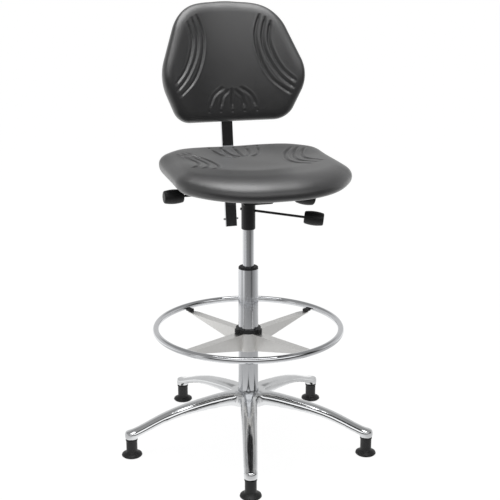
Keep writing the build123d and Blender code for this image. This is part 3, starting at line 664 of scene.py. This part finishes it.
@dataclass(frozen=True)
class MarkPattern:
    """The marks in one cushion's face: arcs on both sides, and a fan that ends in a row of dents.

    All places and lengths are in mm on the face.

    Attributes:
        arcs: points of each arc on the right.
        fan: points of each of the fan's channels on the right.
        spine: points of the fan's middle channel.
        dent_row: distance of the dents along the face.
        dents: their distances to the right of its middle.
        arc_fade: length over which the arcs' ends run out.
        arc_end: share of the arcs' depth left at each end.
        fan_depth: depth of the fan's channels.
        fan_width: their half width.
        fan_fade: length over which their ends run out.
    """

    arcs: tuple[tuple[Point2, ...], ...]
    fan: tuple[tuple[Point2, ...], ...]
    spine: tuple[Point2, ...]
    dent_row: float
    dents: tuple[float, ...]
    arc_fade: float = 9.0
    arc_end: float = 0.35
    fan_depth: float = 2.6
    fan_width: float = 3.2
    fan_fade: float = 8.0

    def ray(self, points: tuple[Point2, ...]) -> Groove:
        """One channel of the fan."""
        return Groove(points, self.fan_depth, self.fan_width, self.fan_fade)

    def marks(self) -> list[Groove | Dimple]:
        """All the marks of the cushion.

        Returns:
            The arcs, the fan and the dents.
        """
        arcs = [Groove(points, fade=self.arc_fade, end_share=self.arc_end) for points in self.arcs]
        fan = [self.ray(points) for points in self.fan]
        dents = [Dimple((x, self.dent_row)) for x in self.dents]
        return [*both_sides(arcs), *both_sides(fan), self.ray(self.spine), *dents]


@dataclass
class MouldedCushion:
    """A pad of foam with a moulded skin: a rounded rim, a crowned face and a flat underside.

    Sizes are in mm. The face lies over the outline, and heights count from the underside.

    Attributes:
        name: the piece's name.
        node: the CAD node that it stands for.
        body: the body that it moves with.
        corners: half of the outline, as half width, distance and corner radius.
        thickness: height of the face above the underside.
        rims: the rounding at the low, middle and high end of the outline's second direction.
        board_inset: how far inside the outline the underside's board starts.
        board_proud: how far the board stands out of the underside.
        crown: extra height of the face at places on it, in mm.
        place: moves face coordinates and heights in mm to the row frame in metres.
        marks: channels and dents in the face.
        columns: points around the outline.
        fill: how tight the pad is; not used.
    """

    name: str
    node: str
    body: str
    corners: Sequence[Point3]
    thickness: float
    rims: tuple[Rim, Rim, Rim]
    board_inset: float
    board_proud: float
    crown: Callable[[np.ndarray], np.ndarray]
    place: Callable[[np.ndarray, np.ndarray], np.ndarray]
    marks: Sequence[Groove | Dimple] = field(default_factory=list)
    columns: int = 560
    fill: float = 0.95

    def build(self) -> bpy.types.Object:
        """Make the pad.

        Returns:
            The finished piece.
        """
        half = list(self.corners)
        outline = rounded_outline([*half, *[(-x, y, r) for x, y, r in reversed(half)]], self.columns)
        normals = outward_normals(outline)
        rings, heights = self.rows(outline, normals)
        flat = np.concatenate(rings)
        height = np.concatenate(heights)
        lift = self.crown(flat)
        for mark in self.marks:
            lift = lift - mark.carve(flat)
        height = height * (1.0 + lift / self.thickness)
        points = self.place(flat, height)
        faces = ring_faces(len(rings), self.columns)
        points, faces = self.closed_ends(points, faces, len(rings))
        piece = mesh_piece(self.name, points, faces)
        dress(piece, CHAIR_SKIN)
        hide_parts(self.node)
        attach(piece, self.body)
        LOG.info("%s: %d faces", self.name, len(faces))
        return piece

    def rows(self, outline: np.ndarray, normals: np.ndarray) -> tuple[list, list]:
        """Rings of points from the middle of the face, over the rim, to the board's recess.

        Args:
            outline: the pad's outline.
            normals: its outward normals.

        Returns:
            The rings' places and their heights.
        """
        rings, heights = [], []

        def add(ring: np.ndarray, height: float | np.ndarray) -> None:
            """Keep one ring."""
            rings.append(ring)
            heights.append(np.zeros(len(ring)) + height)

        low, middle, high = (rim.values() for rim in self.rims)
        to_low = step_up(-normals[:, 1], 0.15, 0.95)[:, None]
        to_high = step_up(normals[:, 1], 0.15, 0.95)[:, None]
        sizes = middle + to_low * (low - middle) + to_high * (high - middle)
        roll_in, roll_down, under_in = evened(sizes, len(outline) // 7).T
        inner = outline - normals * (roll_in * RIM_EASE)[:, None]
        centre = inner.mean(0)
        for scale in np.linspace(0.012, 1.0, FACE_ROWS)[:-1]:
            add(centre + (inner - centre) * scale, self.thickness)
        for share in np.linspace(RIM_EASE, 1.0, EASE_ROWS)[:-1]:
            add(outline - normals * (roll_in * share)[:, None], self.thickness)
        for angle in np.linspace(90.0, 0.0, RIM_ROWS):
            gap, drop = self.rounded(angle)
            add(outline - normals * (roll_in * gap)[:, None], self.thickness - roll_down * drop)
        for angle in np.linspace(0.0, 90.0, UNDER_ROWS)[1:]:
            gap, drop = self.rounded(angle)
            depth = self.thickness - roll_down - self.board_proud
            add(outline - normals * (under_in * gap)[:, None], self.board_proud + depth * drop)
        inset = np.full(len(outline), self.board_inset + 1.0)
        for share in np.linspace(0.0, 1.0, FLAT_ROWS)[1:]:
            add(outline - normals * (under_in + (inset - under_in) * share)[:, None], self.board_proud)
        last = outline - normals * (self.board_inset + 1.5)
        add(last, self.board_proud + BOARD_RECESS)
        add(last.mean(0) + (last - last.mean(0)) * 0.5, self.board_proud + BOARD_RECESS)
        return rings, heights

    @staticmethod
    def rounded(angle: float) -> tuple[float, float]:
        """A place on a rim that is a little fuller than a quarter of a circle.

        Args:
            angle: 90 degrees where the rim leaves the face, 0 at its widest.

        Returns:
            The gap from the outline and the drop from the face, as shares of the rim's reach.
        """
        power = 2.0 / RIM_FULLNESS
        return 1.0 - math.cos(math.radians(angle)) ** power, 1.0 - math.sin(math.radians(angle)) ** power

    def closed_ends(self, points: np.ndarray, faces: list, rows: int) -> tuple[np.ndarray, list]:
        """Close the first and last ring with a fan about their middle.

        Args:
            points: all points.
            faces: all faces so far.
            rows: number of rings.

        Returns:
            The points and faces with the two fans.
        """
        first = points[: self.columns].mean(0)
        last = points[(rows - 1) * self.columns :].mean(0)
        points = np.concatenate([points, [first, last]])
        top = len(points) - 2
        base = (rows - 1) * self.columns
        for column in range(self.columns):
            after = (column + 1) % self.columns
            faces.append((top, after, column))
            faces.append((top + 1, base + column, base + after))
        return points, faces


@dataclass
class Seat:
    """The seat: its pad, and the board, carrier and screws under it.

    Attributes:
        slope: how far the seat leans down to the front, in degrees.
        underside: height of the underside on the column's axis, in mm.
        thickness: height of the pad's rim, in mm.
        corners: half of the pad's outline.
        dish: how far the middle of the face sinks, in mm.
        dish_half: half the sunk part's width and length, in mm.
        dish_middle: where its middle lies along the face, in mm.
        wing: how far the rear corners rise, in mm.
        wing_across: where the rise starts and is full across the face, in mm.
        wing_along: the same along it.
        pattern: the marks in the face.
    """

    slope: float = 3.3
    underside: float = 684.0
    thickness: float = 53.5
    corners: tuple[Point3, ...] = (
        (123.1, -255.5, 205.0),
        (213.6, -141.7, 84.0),
        (209.5, 65.0, 55.0),
        (118.3, 152.5, 150.0),
    )
    dish: float = 9.0
    dish_half: Point2 = (175.0, 150.0)
    dish_middle: float = 5.0
    wing: float = 7.0
    wing_across: Range = (70.0, 190.0)
    wing_along: Range = (-20.0, 110.0)
    pattern: MarkPattern = MarkPattern(
        arcs=(
            ((142.0, 74.0), (106.0, 34.0), (91.0, -24.0), (99.0, -76.0), (128.0, -108.0)),
            ((156.0, 66.0), (127.0, 30.0), (112.0, -20.0), (119.0, -64.0), (148.0, -96.0)),
            ((170.0, 56.0), (147.0, 24.0), (133.0, -16.0), (140.0, -52.0), (168.0, -84.0)),
        ),
        fan=(((22.0, 38.0), (47.0, 62.0), (60.0, 102.0)), ((8.0, 40.0), (24.0, 66.0), (31.0, 106.0))),
        spine=((0.0, 40.0), (0.0, 74.0), (0.0, 108.0)),
        dent_row=120.0,
        dents=(-63.0, -31.5, 0.0, 31.5, 63.0),
        arc_fade=32.0,
        arc_end=0.0,
    )

    def place(self, flat: np.ndarray, height: np.ndarray) -> np.ndarray:
        """Move the pad's points to where the seat stands.

        Args:
            flat: places on the face, in mm.
            height: heights above the underside, in mm.

        Returns:
            The points in the row frame, in metres.
        """
        lean = math.radians(self.slope)
        column = column_place().x
        x = column + flat[:, 0] * MM
        y = (flat[:, 1] * math.cos(lean) - height * math.sin(lean)) * MM
        z = (self.underside + flat[:, 1] * math.sin(lean) + height * math.cos(lean)) * MM
        return np.stack([x, y, z], axis=1)

    def crown(self, flat: np.ndarray) -> np.ndarray:
        """Shape of the face.

        Args:
            flat: places on the face, in mm.

        Returns:
            How far the face lies above its rim's height at each, in mm.
        """
        x, y = flat[:, 0], flat[:, 1]
        half_x, half_y = self.dish_half
        bowl = np.clip(1.0 - (x / half_x) ** 2 - ((y - self.dish_middle) / half_y) ** 2, 0.0, 1.0)
        sunk = -self.dish * bowl * bowl * (3.0 - 2.0 * bowl)
        wings = self.wing * step_up(np.abs(x), *self.wing_across) * step_up(y, *self.wing_along)
        return sunk + wings

    def build(self) -> None:
        """Make the pad and dress the parts under it."""
        MouldedCushion(
            name="seat_pad",
            node="seat_cushion",
            body="seat",
            corners=self.corners,
            thickness=self.thickness,
            rims=(Rim(78.0, 36.0, 33.0), Rim(34.0, 20.0, 40.0), Rim(28.0, 22.0, 30.0)),
            board_inset=42.0,
            board_proud=3.0,
            crown=self.crown,
            place=self.place,
            marks=self.pattern.marks(),
        ).build()
        dress_nodes(BOARD_WOOD, "seat_core")
        dress_nodes(BLACK_COAT, "seat_carrier")
        dress_nodes(FASTENER_STEEL, "seat_screws", "back_pin")


@dataclass
class Backrest:
    """The backrest on its upright.

    Attributes:
        lean: how far the upright leans back, in degrees.
        pass_y: distance back where the upright passes the seat, in mm.
        pass_z: height of that place, in mm.
        centre: height of the pad's middle along the upright, in mm.
        wrap: radius of the curve around the sitter at the pad's middle, in mm.
        stand_off: gap from the upright's middle to the pad's rear, in mm.
        thickness: of the pad, in mm.
        arch: how far the top edge falls beside its middle, in mm.
        corners: half of the pad's outline.
        top_fall: how far the face falls back towards the top, in mm.
        top_start: where that fall starts along the face, in mm.
        top_reach: length over which it takes place, in mm.
        foot_fall: how far the face falls back towards the foot, in mm.
        foot_start: where that fall starts, in mm.
        foot_reach: length over which it takes place, in mm.
        pattern: the marks in the face.
    """

    lean: float = 7.6
    pass_y: float = 164.0
    pass_z: float = 745.0
    centre: float = 192.0
    wrap: float = 333.0
    stand_off: float = 10.0
    thickness: float = 48.0
    arch: float = 3.2
    corners: tuple[Point3, ...] = (
        (141.5, -136.5, 50.0),
        (191.5, -28.0, 105.0),
        (119.3, 159.5, 108.0),
    )
    top_fall: float = 17.0
    top_start: float = -70.0
    top_reach: float = 220.0
    foot_fall: float = 5.0
    foot_start: float = -50.0
    foot_reach: float = 80.0
    pattern: MarkPattern = MarkPattern(
        arcs=(
            ((81.0, 123.0), (67.5, 75.0), (74.5, 19.0), (100.0, -34.0), (142.0, -72.0)),
            ((94.5, 115.0), (84.0, 69.0), (91.0, 24.0), (118.0, -26.0), (150.0, -58.5)),
            ((106.5, 104.0), (99.0, 63.0), (106.5, 26.0), (125.5, -12.0), (153.0, -42.0)),
        ),
        fan=(((25.0, -55.0), (48.0, -73.0), (59.0, -97.0)), ((10.0, -61.0), (24.0, -76.0), (30.5, -100.0))),
        spine=((0.0, -59.0), (0.0, -80.0), (0.0, -101.0)),
        dent_row=-111.5,
        dents=(-62.5, -31.0, 0.5, 32.0, 63.5),
    )

    def place(self, flat: np.ndarray, height: np.ndarray) -> np.ndarray:
        """Wrap the pad's points around the sitter and move them to the upright.

        Args:
            flat: places on the face, in mm.
            height: heights above the pad's rear, in mm.

        Returns:
            The points in the row frame, in metres.
        """
        lean = math.radians(self.lean)
        outer = self.wrap + self.thickness / 2.0
        forward = self.stand_off + outer - np.sqrt((outer - height) ** 2 - flat[:, 0] ** 2)
        top = np.clip(flat[:, 1] / self.corners[-1][1], 0.0, 1.0) ** 2
        across = np.clip(np.abs(flat[:, 0]) / self.corners[-1][0], 0.0, 1.0)
        along = self.centre + flat[:, 1] - self.arch * top * np.sin(math.pi * across) ** 2
        x = column_place().x + flat[:, 0] * MM
        y = (self.pass_y + along * math.sin(lean) - forward * math.cos(lean)) * MM
        z = (self.pass_z + along * math.cos(lean) + forward * math.sin(lean)) * MM
        return np.stack([x, y, z], axis=1)

    def crown(self, flat: np.ndarray) -> np.ndarray:
        """Shape of the face.

        Args:
            flat: places on the face, in mm.

        Returns:
            How far the face lies above its rim's height at each, in mm.
        """
        y = flat[:, 1]
        top = -self.top_fall * (np.clip(y - self.top_start, 0.0, None) / self.top_reach) ** 2
        foot = -self.foot_fall * (np.clip(self.foot_start - y, 0.0, None) / self.foot_reach) ** 2
        return top + foot

    def build(self) -> None:
        """Make the pad and dress what carries it."""
        MouldedCushion(
            name="back_pad",
            node="back_cushion",
            body="upright",
            corners=self.corners,
            thickness=self.thickness,
            rims=(Rim(28.0, 26.0, 18.0), Rim(30.0, 25.0, 20.0), Rim(28.0, 25.0, 18.0)),
            board_inset=40.0,
            board_proud=0.0,
            crown=self.crown,
            place=self.place,
            marks=self.pattern.marks(),
        ).build()
        dress_nodes(UPRIGHT_CHROME, "upright_bar")
        dress_nodes(BOARD_WOOD, "back_core")
        dress_nodes(BLACK_COAT, "back_plate", "back_bracket")
        dress_nodes(BLACK_PLASTIC, "clamp_knob")
        dress_nodes(FASTENER_STEEL, "back_screws", "stop_pin", "clamp_screw")


# ---------------------------------------------------------------- metal work
def column_place() -> Vector:
    """Middle of the column tube's box."""
    low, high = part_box("column_tube")
    return (low + high) / 2.0


@dataclass
class StarBase:
    """The five-arm base on its glides.

    Attributes:
        glides: how many glides it stands on.
        grid: edge of the cubes that the casting's surface is rebuilt on, in metres.
        passes: how often that surface is smoothed.
        softness: how far each pass moves a point towards its neighbours.
        regain: how far the surface is then moved out again, in metres.
    """

    glides: int = 5
    grid: float = 0.0022
    passes: int = 36
    softness: float = 0.5
    regain: float = 0.0011

    def casting(self) -> bpy.types.Object:
        """Make the casting with crowned arms and blended corners, as grinding and polishing leave them.

        Returns:
            The finished piece.
        """
        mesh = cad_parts["star_base"].data.copy()
        rough = bpy.data.objects.new("rough_base", mesh)
        bpy.context.scene.collection.objects.link(rough)
        even = rough.modifiers.new("even", "REMESH")
        even.mode = "VOXEL"
        even.voxel_size = self.grid
        polish = rough.modifiers.new("polish", "SMOOTH")
        polish.factor = self.softness
        polish.iterations = self.passes
        grow = rough.modifiers.new("grow", "DISPLACE")
        grow.strength = self.regain
        grow.mid_level = 0.0
        solved = rough.evaluated_get(bpy.context.evaluated_depsgraph_get())
        piece = bpy.data.objects.new("cast_base", bpy.data.meshes.new_from_object(solved))
        bpy.context.scene.collection.objects.link(piece)
        bpy.data.objects.remove(rough)
        piece.data.polygons.foreach_set("use_smooth", [True] * len(piece.data.polygons))
        dress(piece, CAST_ALUMINIUM)
        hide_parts("star_base")
        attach(piece, "base")
        LOG.info("%s: %d faces", piece.name, len(piece.data.polygons))
        return piece

    def build(self) -> None:
        """Make the casting and dress the glides."""
        self.casting()
        dress_nodes(FASTENER_STEEL, "glide_pins")
        dress_nodes(BLACK_PLASTIC, *[f"glide_{index + 1}" for index in range(self.glides)])


@dataclass
class GasColumn:
    """The column tube, its bush, and the gas spring inside it."""

    def build(self) -> None:
        """Dress the column."""
        dress_nodes(COLUMN_CHROME, "column_tube", "gas_cylinder")
        dress_nodes(BUSH_PLASTIC, "guide_bush", "bearing_cage", "rod_seal")
        dress_nodes(BEARING_STEEL, "bearing_lower_race", "bearing_upper_race", "bearing_balls")
        dress_nodes(FASTENER_STEEL, "piston_rod", "piston", "retaining_clip", "valve_pin")
        dress_nodes(STOP_RUBBER, "bump_stop")


@dataclass
class FootRing:
    """The foot ring, its spokes and sleeve, and the collar that locks it.

    Attributes:
        spokes: how many spokes it has.
    """

    spokes: int = 4

    def build(self) -> None:
        """Dress the ring."""
        dress_nodes(RING_CHROME, "foot_ring_tube")
        dress_nodes(PRESSED_STEEL, "ring_sleeve", *[f"spoke_{index + 1}" for index in range(self.spokes)])
        dress_nodes(BLACK_COAT, "ring_clips")
        dress_nodes(BLACK_PLASTIC, "lock_collar")
        dress_nodes(BUSH_PLASTIC, "clamp_collet")


@dataclass
class Mechanism:
    """The housing under the seat and its levers."""

    def build(self) -> None:
        """Dress the mechanism."""
        dress_nodes(BLACK_COAT, "mechanism_housing", "taper_socket", "release_rod", "lock_rod", "angle_rod")
        dress_nodes(BLACK_PLASTIC, "release_knob", "lock_knob", "angle_knob")
        dress_nodes(BUSH_PLASTIC, "lever_bushings")
        dress_nodes(FASTENER_STEEL, "tilt_pin", "lever_pin", "lock_cam", "angle_cam")


# ---------------------------------------------------------------- studio
class Sum(Enum):
    """Sums on two values."""

    TIMES = "MULTIPLY"
    LARGER = "MAXIMUM"
    ANGLE = "ARCTAN2"


class Rise(Enum):
    """Ways to go from 0 to 1."""

    SOFT = "SMOOTHSTEP"
    STRAIGHT = "LINEAR"


class Ray(Enum):
    """Kinds of light ray."""

    CAMERA = "Is Camera Ray"
    GLOSS = "Is Glossy Ray"
    CLEAR = "Is Transmission Ray"


Tone = tuple[float, float, float, float]


def grey(level: float) -> Tone:
    """An opaque grey."""
    return level, level, level, 1.0


class StudioTree:
    """The node tree of the floor or of the surroundings, with short calls for its nodes."""

    def __init__(self, tree: bpy.types.NodeTree) -> None:
        """Work on a tree."""
        self.tree = tree

    def split(self, place: Socket) -> bpy.types.NodeOutputs:
        """Split a place into its parts.

        Args:
            place: the place.

        Returns:
            The sockets X, Y and Z.
        """
        node = self.tree.nodes.new("ShaderNodeSeparateXYZ")
        self.tree.links.new(place, node.inputs[0])
        return node.outputs

    def sum(self, kind: Sum, first: Socket, second: Socket | float) -> Socket:
        """The result of a sum.

        Args:
            kind: which sum.
            first: the first value.
            second: the second value, or a constant.

        Returns:
            The socket with the result.
        """
        node = self.tree.nodes.new("ShaderNodeMath")
        node.operation = kind.value
        self.tree.links.new(first, node.inputs[0])
        if isinstance(second, float):
            node.inputs[1].default_value = second
        else:
            self.tree.links.new(second, node.inputs[1])
        return node.outputs[0]

    def product(self, *values: Socket) -> Socket:
        """The product of some values.

        Args:
            values: two or more sockets.

        Returns:
            The socket with the product.
        """
        result = values[0]
        for value in values[1:]:
            result = self.sum(Sum.TIMES, result, value)
        return result

    def rays(self, *kinds: Ray) -> Socket:
        """1 for some kinds of ray, and 0 for all others.

        Args:
            kinds: the kinds.

        Returns:
            The socket with the 1 or 0.
        """
        path = self.tree.nodes.new("ShaderNodeLightPath")
        result = path.outputs[kinds[0].value]
        for kind in kinds[1:]:
            result = self.sum(Sum.LARGER, result, path.outputs[kind.value])
        return result

    def mixed(self, share: Socket, first: Socket | Tone, second: Socket | Tone) -> Socket:
        """Mix two colours, each a socket or a constant.

        Args:
            share: 0 for the first colour, 1 for the second.
            first: the first colour.
            second: the second colour.

        Returns:
            The socket with the mixture.
        """
        node = self.tree.nodes.new("ShaderNodeMix")
        node.data_type = "RGBA"
        self.tree.links.new(share, node.inputs["Factor"])
        for colour, name in ((first, "A"), (second, "B")):
            socket = [entry for entry in node.inputs if entry.name == name and entry.type == "RGBA"][0]
            if isinstance(colour, tuple):
                socket.default_value = colour
            else:
                self.tree.links.new(colour, socket)
        return [entry for entry in node.outputs if entry.type == "RGBA"][0]

    def ramp(self, value: Socket, levels: Sequence[tuple[float, float]]) -> Socket:
        """Greys by value.

        Args:
            value: a value from 0 to 1.
            levels: grey levels, each after the value that it stands at.

        Returns:
            The socket with the grey.
        """
        node = self.tree.nodes.new("ShaderNodeValToRGB")
        stops = node.color_ramp.elements
        while len(stops) > 1:
            stops.remove(stops[-1])
        for index, (spot, level) in enumerate(levels):
            stop = stops[0] if index == 0 else stops.new(spot)
            stop.position = spot
            stop.color = grey(level)
        self.tree.links.new(value, node.inputs["Fac"])
        return node.outputs["Color"]

    def step(self, value: Socket, low: float, high: float, rise: Rise = Rise.SOFT) -> Socket:
        """Step of a value from 0 at low to 1 at high.

        Args:
            value: the value.
            low: where the step starts.
            high: where it ends.
            rise: how it rises in between.

        Returns:
            The socket with the step.
        """
        node = self.tree.nodes.new("ShaderNodeMapRange")
        node.interpolation_type = rise.value
        node.inputs["From Min"].default_value = low
        node.inputs["From Max"].default_value = high
        self.tree.links.new(value, node.inputs["Value"])
        return node.outputs["Result"]


@dataclass
class Studio:
    """Pale floor, soft light and the camera.

    Gloss means what shiny surfaces mirror. Levels are those of a grey light, distances are in metres, and a
    range gives where a change starts and where it has ended.

    Attributes:
        yaw: how far the camera stands to the left of the chair's front, in degrees.
        pitch: how far it looks down, in degrees.
        distance: from the column's axis.
        height: above the floor.
        lens: focal length in mm on a sensor 36 mm wide.
        shift: sideways shift of the view, as a share of its width.
        floor_half: half the length of the floor.
        floor_matt: how much light the floor's matt part throws back.
        floor_light: level of its own light.
        floor_glow: how much of the floor's white stays where the chair shades it.
        ambient: level of the light from all around.
        ceiling: level of the ceiling in gloss.
        wall_top: range of height, as a sine, in which the walls turn into the ceiling.
        shade: level of the dark strip low in front, in gloss.
        shade_front: range of direction towards the front in which that strip comes in.
        screen: level of the light screen high up in front, in gloss.
        screen_front: range of direction towards the front in which it comes in.
        screen_side: the same towards its right end.
        screen_edge: range of height, as a sine, of its lower edge.
        screen_top: the same of its upper edge.
        floor_edge: range of distance in which the floor's level in gloss turns into the walls'.
        floor_far: range of distance in which it turns into its level far in front.
        floor_end: that level.
        floor_rear: range along Y in which the floor's white behind turns into its level in front.
        floor_front: level of the floor in front, in gloss, by distance.
        walls: level of the walls in gloss, by direction in degrees from the front towards the right.
        lamp_place: where the lamp hangs.
        lamp_aim: what it points at.
        lamp_size: its width and depth.
        lamp_watts: its power.
    """

    yaw: float = 19.04
    pitch: float = 15.1
    distance: float = 2.367
    height: float = 1.143
    lens: float = 71.57
    shift: float = 0.0033
    floor_half: float = 60.0
    floor_matt: float = 0.8
    floor_light: float = 1.1
    floor_glow: float = 0.86
    ambient: float = 0.5
    ceiling: float = 0.32
    wall_top: Range = (0.37, 0.58)
    shade: float = 0.02
    shade_front: Range = (-0.1, -0.5)
    screen: float = 1.3
    screen_front: Range = (-0.25, -0.6)
    screen_side: Range = (0.8, 0.45)
    screen_edge: Range = (0.26, 0.42)
    screen_top: Range = (0.8, 0.64)
    floor_edge: Range = (0.5, 1.5)
    floor_far: Range = (2.1, 2.9)
    floor_end: float = 0.09
    floor_rear: Range = (0.8, 0.1)
    floor_front: tuple[tuple[float, float], ...] = (
        (0.0, 1.0),
        (0.24, 1.0),
        (0.4, 0.6),
        (0.8, 0.44),
        (1.3, 0.3),
        (2.0, 0.2),
    )
    walls: tuple[tuple[float, float], ...] = (
        (-180.0, 0.66),
        (-120.0, 0.62),
        (-86.0, 0.5),
        (-78.0, 1.0),
        (-68.0, 1.0),
        (-60.0, 0.36),
        (-40.0, 0.26),
        (-19.0, 0.22),
        (8.0, 0.2),
        (13.0, 0.03),
        (26.0, 0.03),
        (30.0, 0.24),
        (50.0, 0.34),
        (90.0, 0.62),
        (180.0, 0.66),
    )
    lamp_place: Point3 = (0.0, -0.1, 2.3)
    lamp_aim: Point3 = (0.0, -0.1, 0.5)
    lamp_size: Point2 = (1.2, 1.15)
    lamp_watts: float = 19.0

    def camera(self) -> None:
        """Stand the camera."""
        column = column_place()
        yaw = math.radians(self.yaw)
        data = bpy.data.cameras.new("camera")
        data.lens = self.lens
        data.sensor_width = 36.0
        data.shift_x = self.shift
        camera = bpy.data.objects.new("camera", data)
        camera.location = (
            column.x - self.distance * math.sin(yaw),
            column.y - self.distance * math.cos(yaw),
            self.height,
        )
        camera.rotation_euler = (math.radians(90.0 - self.pitch), 0.0, -yaw)
        bpy.context.scene.collection.objects.link(camera)
        bpy.context.scene.camera = camera

    def floor(self) -> None:
        """Lay the floor: white to the eye, graded in gloss, and shaded by what stands on it."""
        sides = ((-1.0, -1.0), (1.0, -1.0), (1.0, 1.0), (-1.0, 1.0))
        corners = np.array([(x * self.floor_half, y * self.floor_half, 0.0) for x, y in sides])
        floor = mesh_piece("floor", corners, [(0, 1, 2, 3)], smooth=False)
        made = bpy.data.materials.new("floor_white")
        made.use_nodes = True
        tree = made.node_tree
        tree.nodes.clear()
        work = StudioTree(tree)
        place = tree.nodes.new("ShaderNodeTexCoord").outputs["Object"]
        glow = tree.nodes.new("ShaderNodeEmission")
        glow.inputs["Strength"].default_value = self.floor_light
        tone = work.mixed(work.rays(Ray.GLOSS), grey(1.0), self.floor_gloss(work, place))
        tree.links.new(tone, glow.inputs["Color"])
        matt = tree.nodes.new("ShaderNodeBsdfDiffuse")
        matt.inputs["Color"].default_value = grey(self.floor_matt)
        both = tree.nodes.new("ShaderNodeMixShader")
        seen = work.sum(Sum.TIMES, work.rays(Ray.CAMERA, Ray.GLOSS, Ray.CLEAR), self.floor_glow)
        tree.links.new(seen, both.inputs["Fac"])
        tree.links.new(matt.outputs[0], both.inputs[1])
        tree.links.new(glow.outputs[0], both.inputs[2])
        out = tree.nodes.new("ShaderNodeOutputMaterial")
        tree.links.new(both.outputs[0], out.inputs["Surface"])
        floor.data.materials.append(made)

    def floor_gloss(self, work: StudioTree, place: Socket) -> Socket:
        """Level of the floor in gloss.

        Args:
            work: the tree to add to.
            place: the place on the floor.

        Returns:
            The socket with the level as a grey.
        """
        away = work.tree.nodes.new("ShaderNodeVectorMath")
        away.operation = "LENGTH"
        work.tree.links.new(place, away.inputs[0])
        metres = away.outputs["Value"]
        reach = self.floor_front[-1][0]
        near = work.step(metres, 0.0, reach, Rise.STRAIGHT)
        front = work.ramp(near, [(spot / reach, level) for spot, level in self.floor_front])
        front = work.mixed(work.step(metres, *self.floor_edge), front, self.wall_level(work, place))
        front = work.mixed(work.step(metres, *self.floor_far), front, grey(self.floor_end))
        return work.mixed(work.step(work.split(place)["Y"], *self.floor_rear), grey(1.0), front)

    def wall_level(self, work: StudioTree, place: Socket) -> Socket:
        """Level of the walls in gloss, in the direction of a place.

        Args:
            work: the tree to add to.
            place: the place or direction.

        Returns:
            The socket with the level as a grey.
        """
        parts = work.split(place)
        turn = work.sum(Sum.ANGLE, parts["X"], work.sum(Sum.TIMES, parts["Y"], -1.0))
        around = work.step(turn, -math.pi, math.pi, Rise.STRAIGHT)
        return work.ramp(around, [((degrees + 180.0) / 360.0, level) for degrees, level in self.walls])

    def world(self) -> None:
        """Set the surroundings: white to the eye, a room with a screen in gloss, soft grey to the rest."""
        world = bpy.data.worlds.new("studio")
        world.use_nodes = True
        tree = world.node_tree
        work = StudioTree(tree)
        place = tree.nodes.new("ShaderNodeTexCoord").outputs["Generated"]
        parts = work.split(place)
        climb = work.step(parts["Z"], *self.wall_top)
        gloss = work.mixed(climb, self.wall_level(work, place), grey(self.ceiling))
        gloss = work.mixed(work.step(parts["Y"], *self.shade_front), gloss, grey(self.shade))
        ahead = work.product(
            work.step(parts["Y"], *self.screen_front),
            work.step(parts["X"], *self.screen_side),
            work.step(parts["Z"], *self.screen_edge),
            work.step(parts["Z"], *self.screen_top),
        )
        gloss = work.mixed(ahead, gloss, grey(self.screen))
        soft = work.mixed(work.rays(Ray.GLOSS), grey(self.ambient), gloss)
        tone = work.mixed(work.rays(Ray.CAMERA, Ray.CLEAR), soft, grey(1.0))
        tree.links.new(tone, tree.nodes["Background"].inputs["Color"])
        bpy.context.scene.world = world

    def lamp(self) -> None:
        """Hang the soft box over the chair."""
        data = bpy.data.lights.new("overhead", "AREA")
        data.shape = "RECTANGLE"
        data.size, data.size_y = self.lamp_size
        data.energy = self.lamp_watts
        lamp = bpy.data.objects.new("overhead", data)
        lamp.location = self.lamp_place
        down = Vector(self.lamp_aim) - Vector(self.lamp_place)
        lamp.rotation_euler = down.to_track_quat("-Z", "Y").to_euler()
        bpy.context.scene.collection.objects.link(lamp)

    def build(self) -> None:
        """Set the whole studio."""
        self.camera()
        self.floor()
        self.world()
        self.lamp()
        bpy.context.scene.view_settings.view_transform = "Standard"


def main() -> None:
    """Build the chair piece by piece and the studio around it."""
    logging.basicConfig(level=logging.INFO, format="%(name)s %(message)s")
    Studio().build()
    StarBase().build()
    GasColumn().build()
    FootRing().build()
    Mechanism().build()
    Seat().build()
    Backrest().build()


if __name__ == "__main__":
    main()
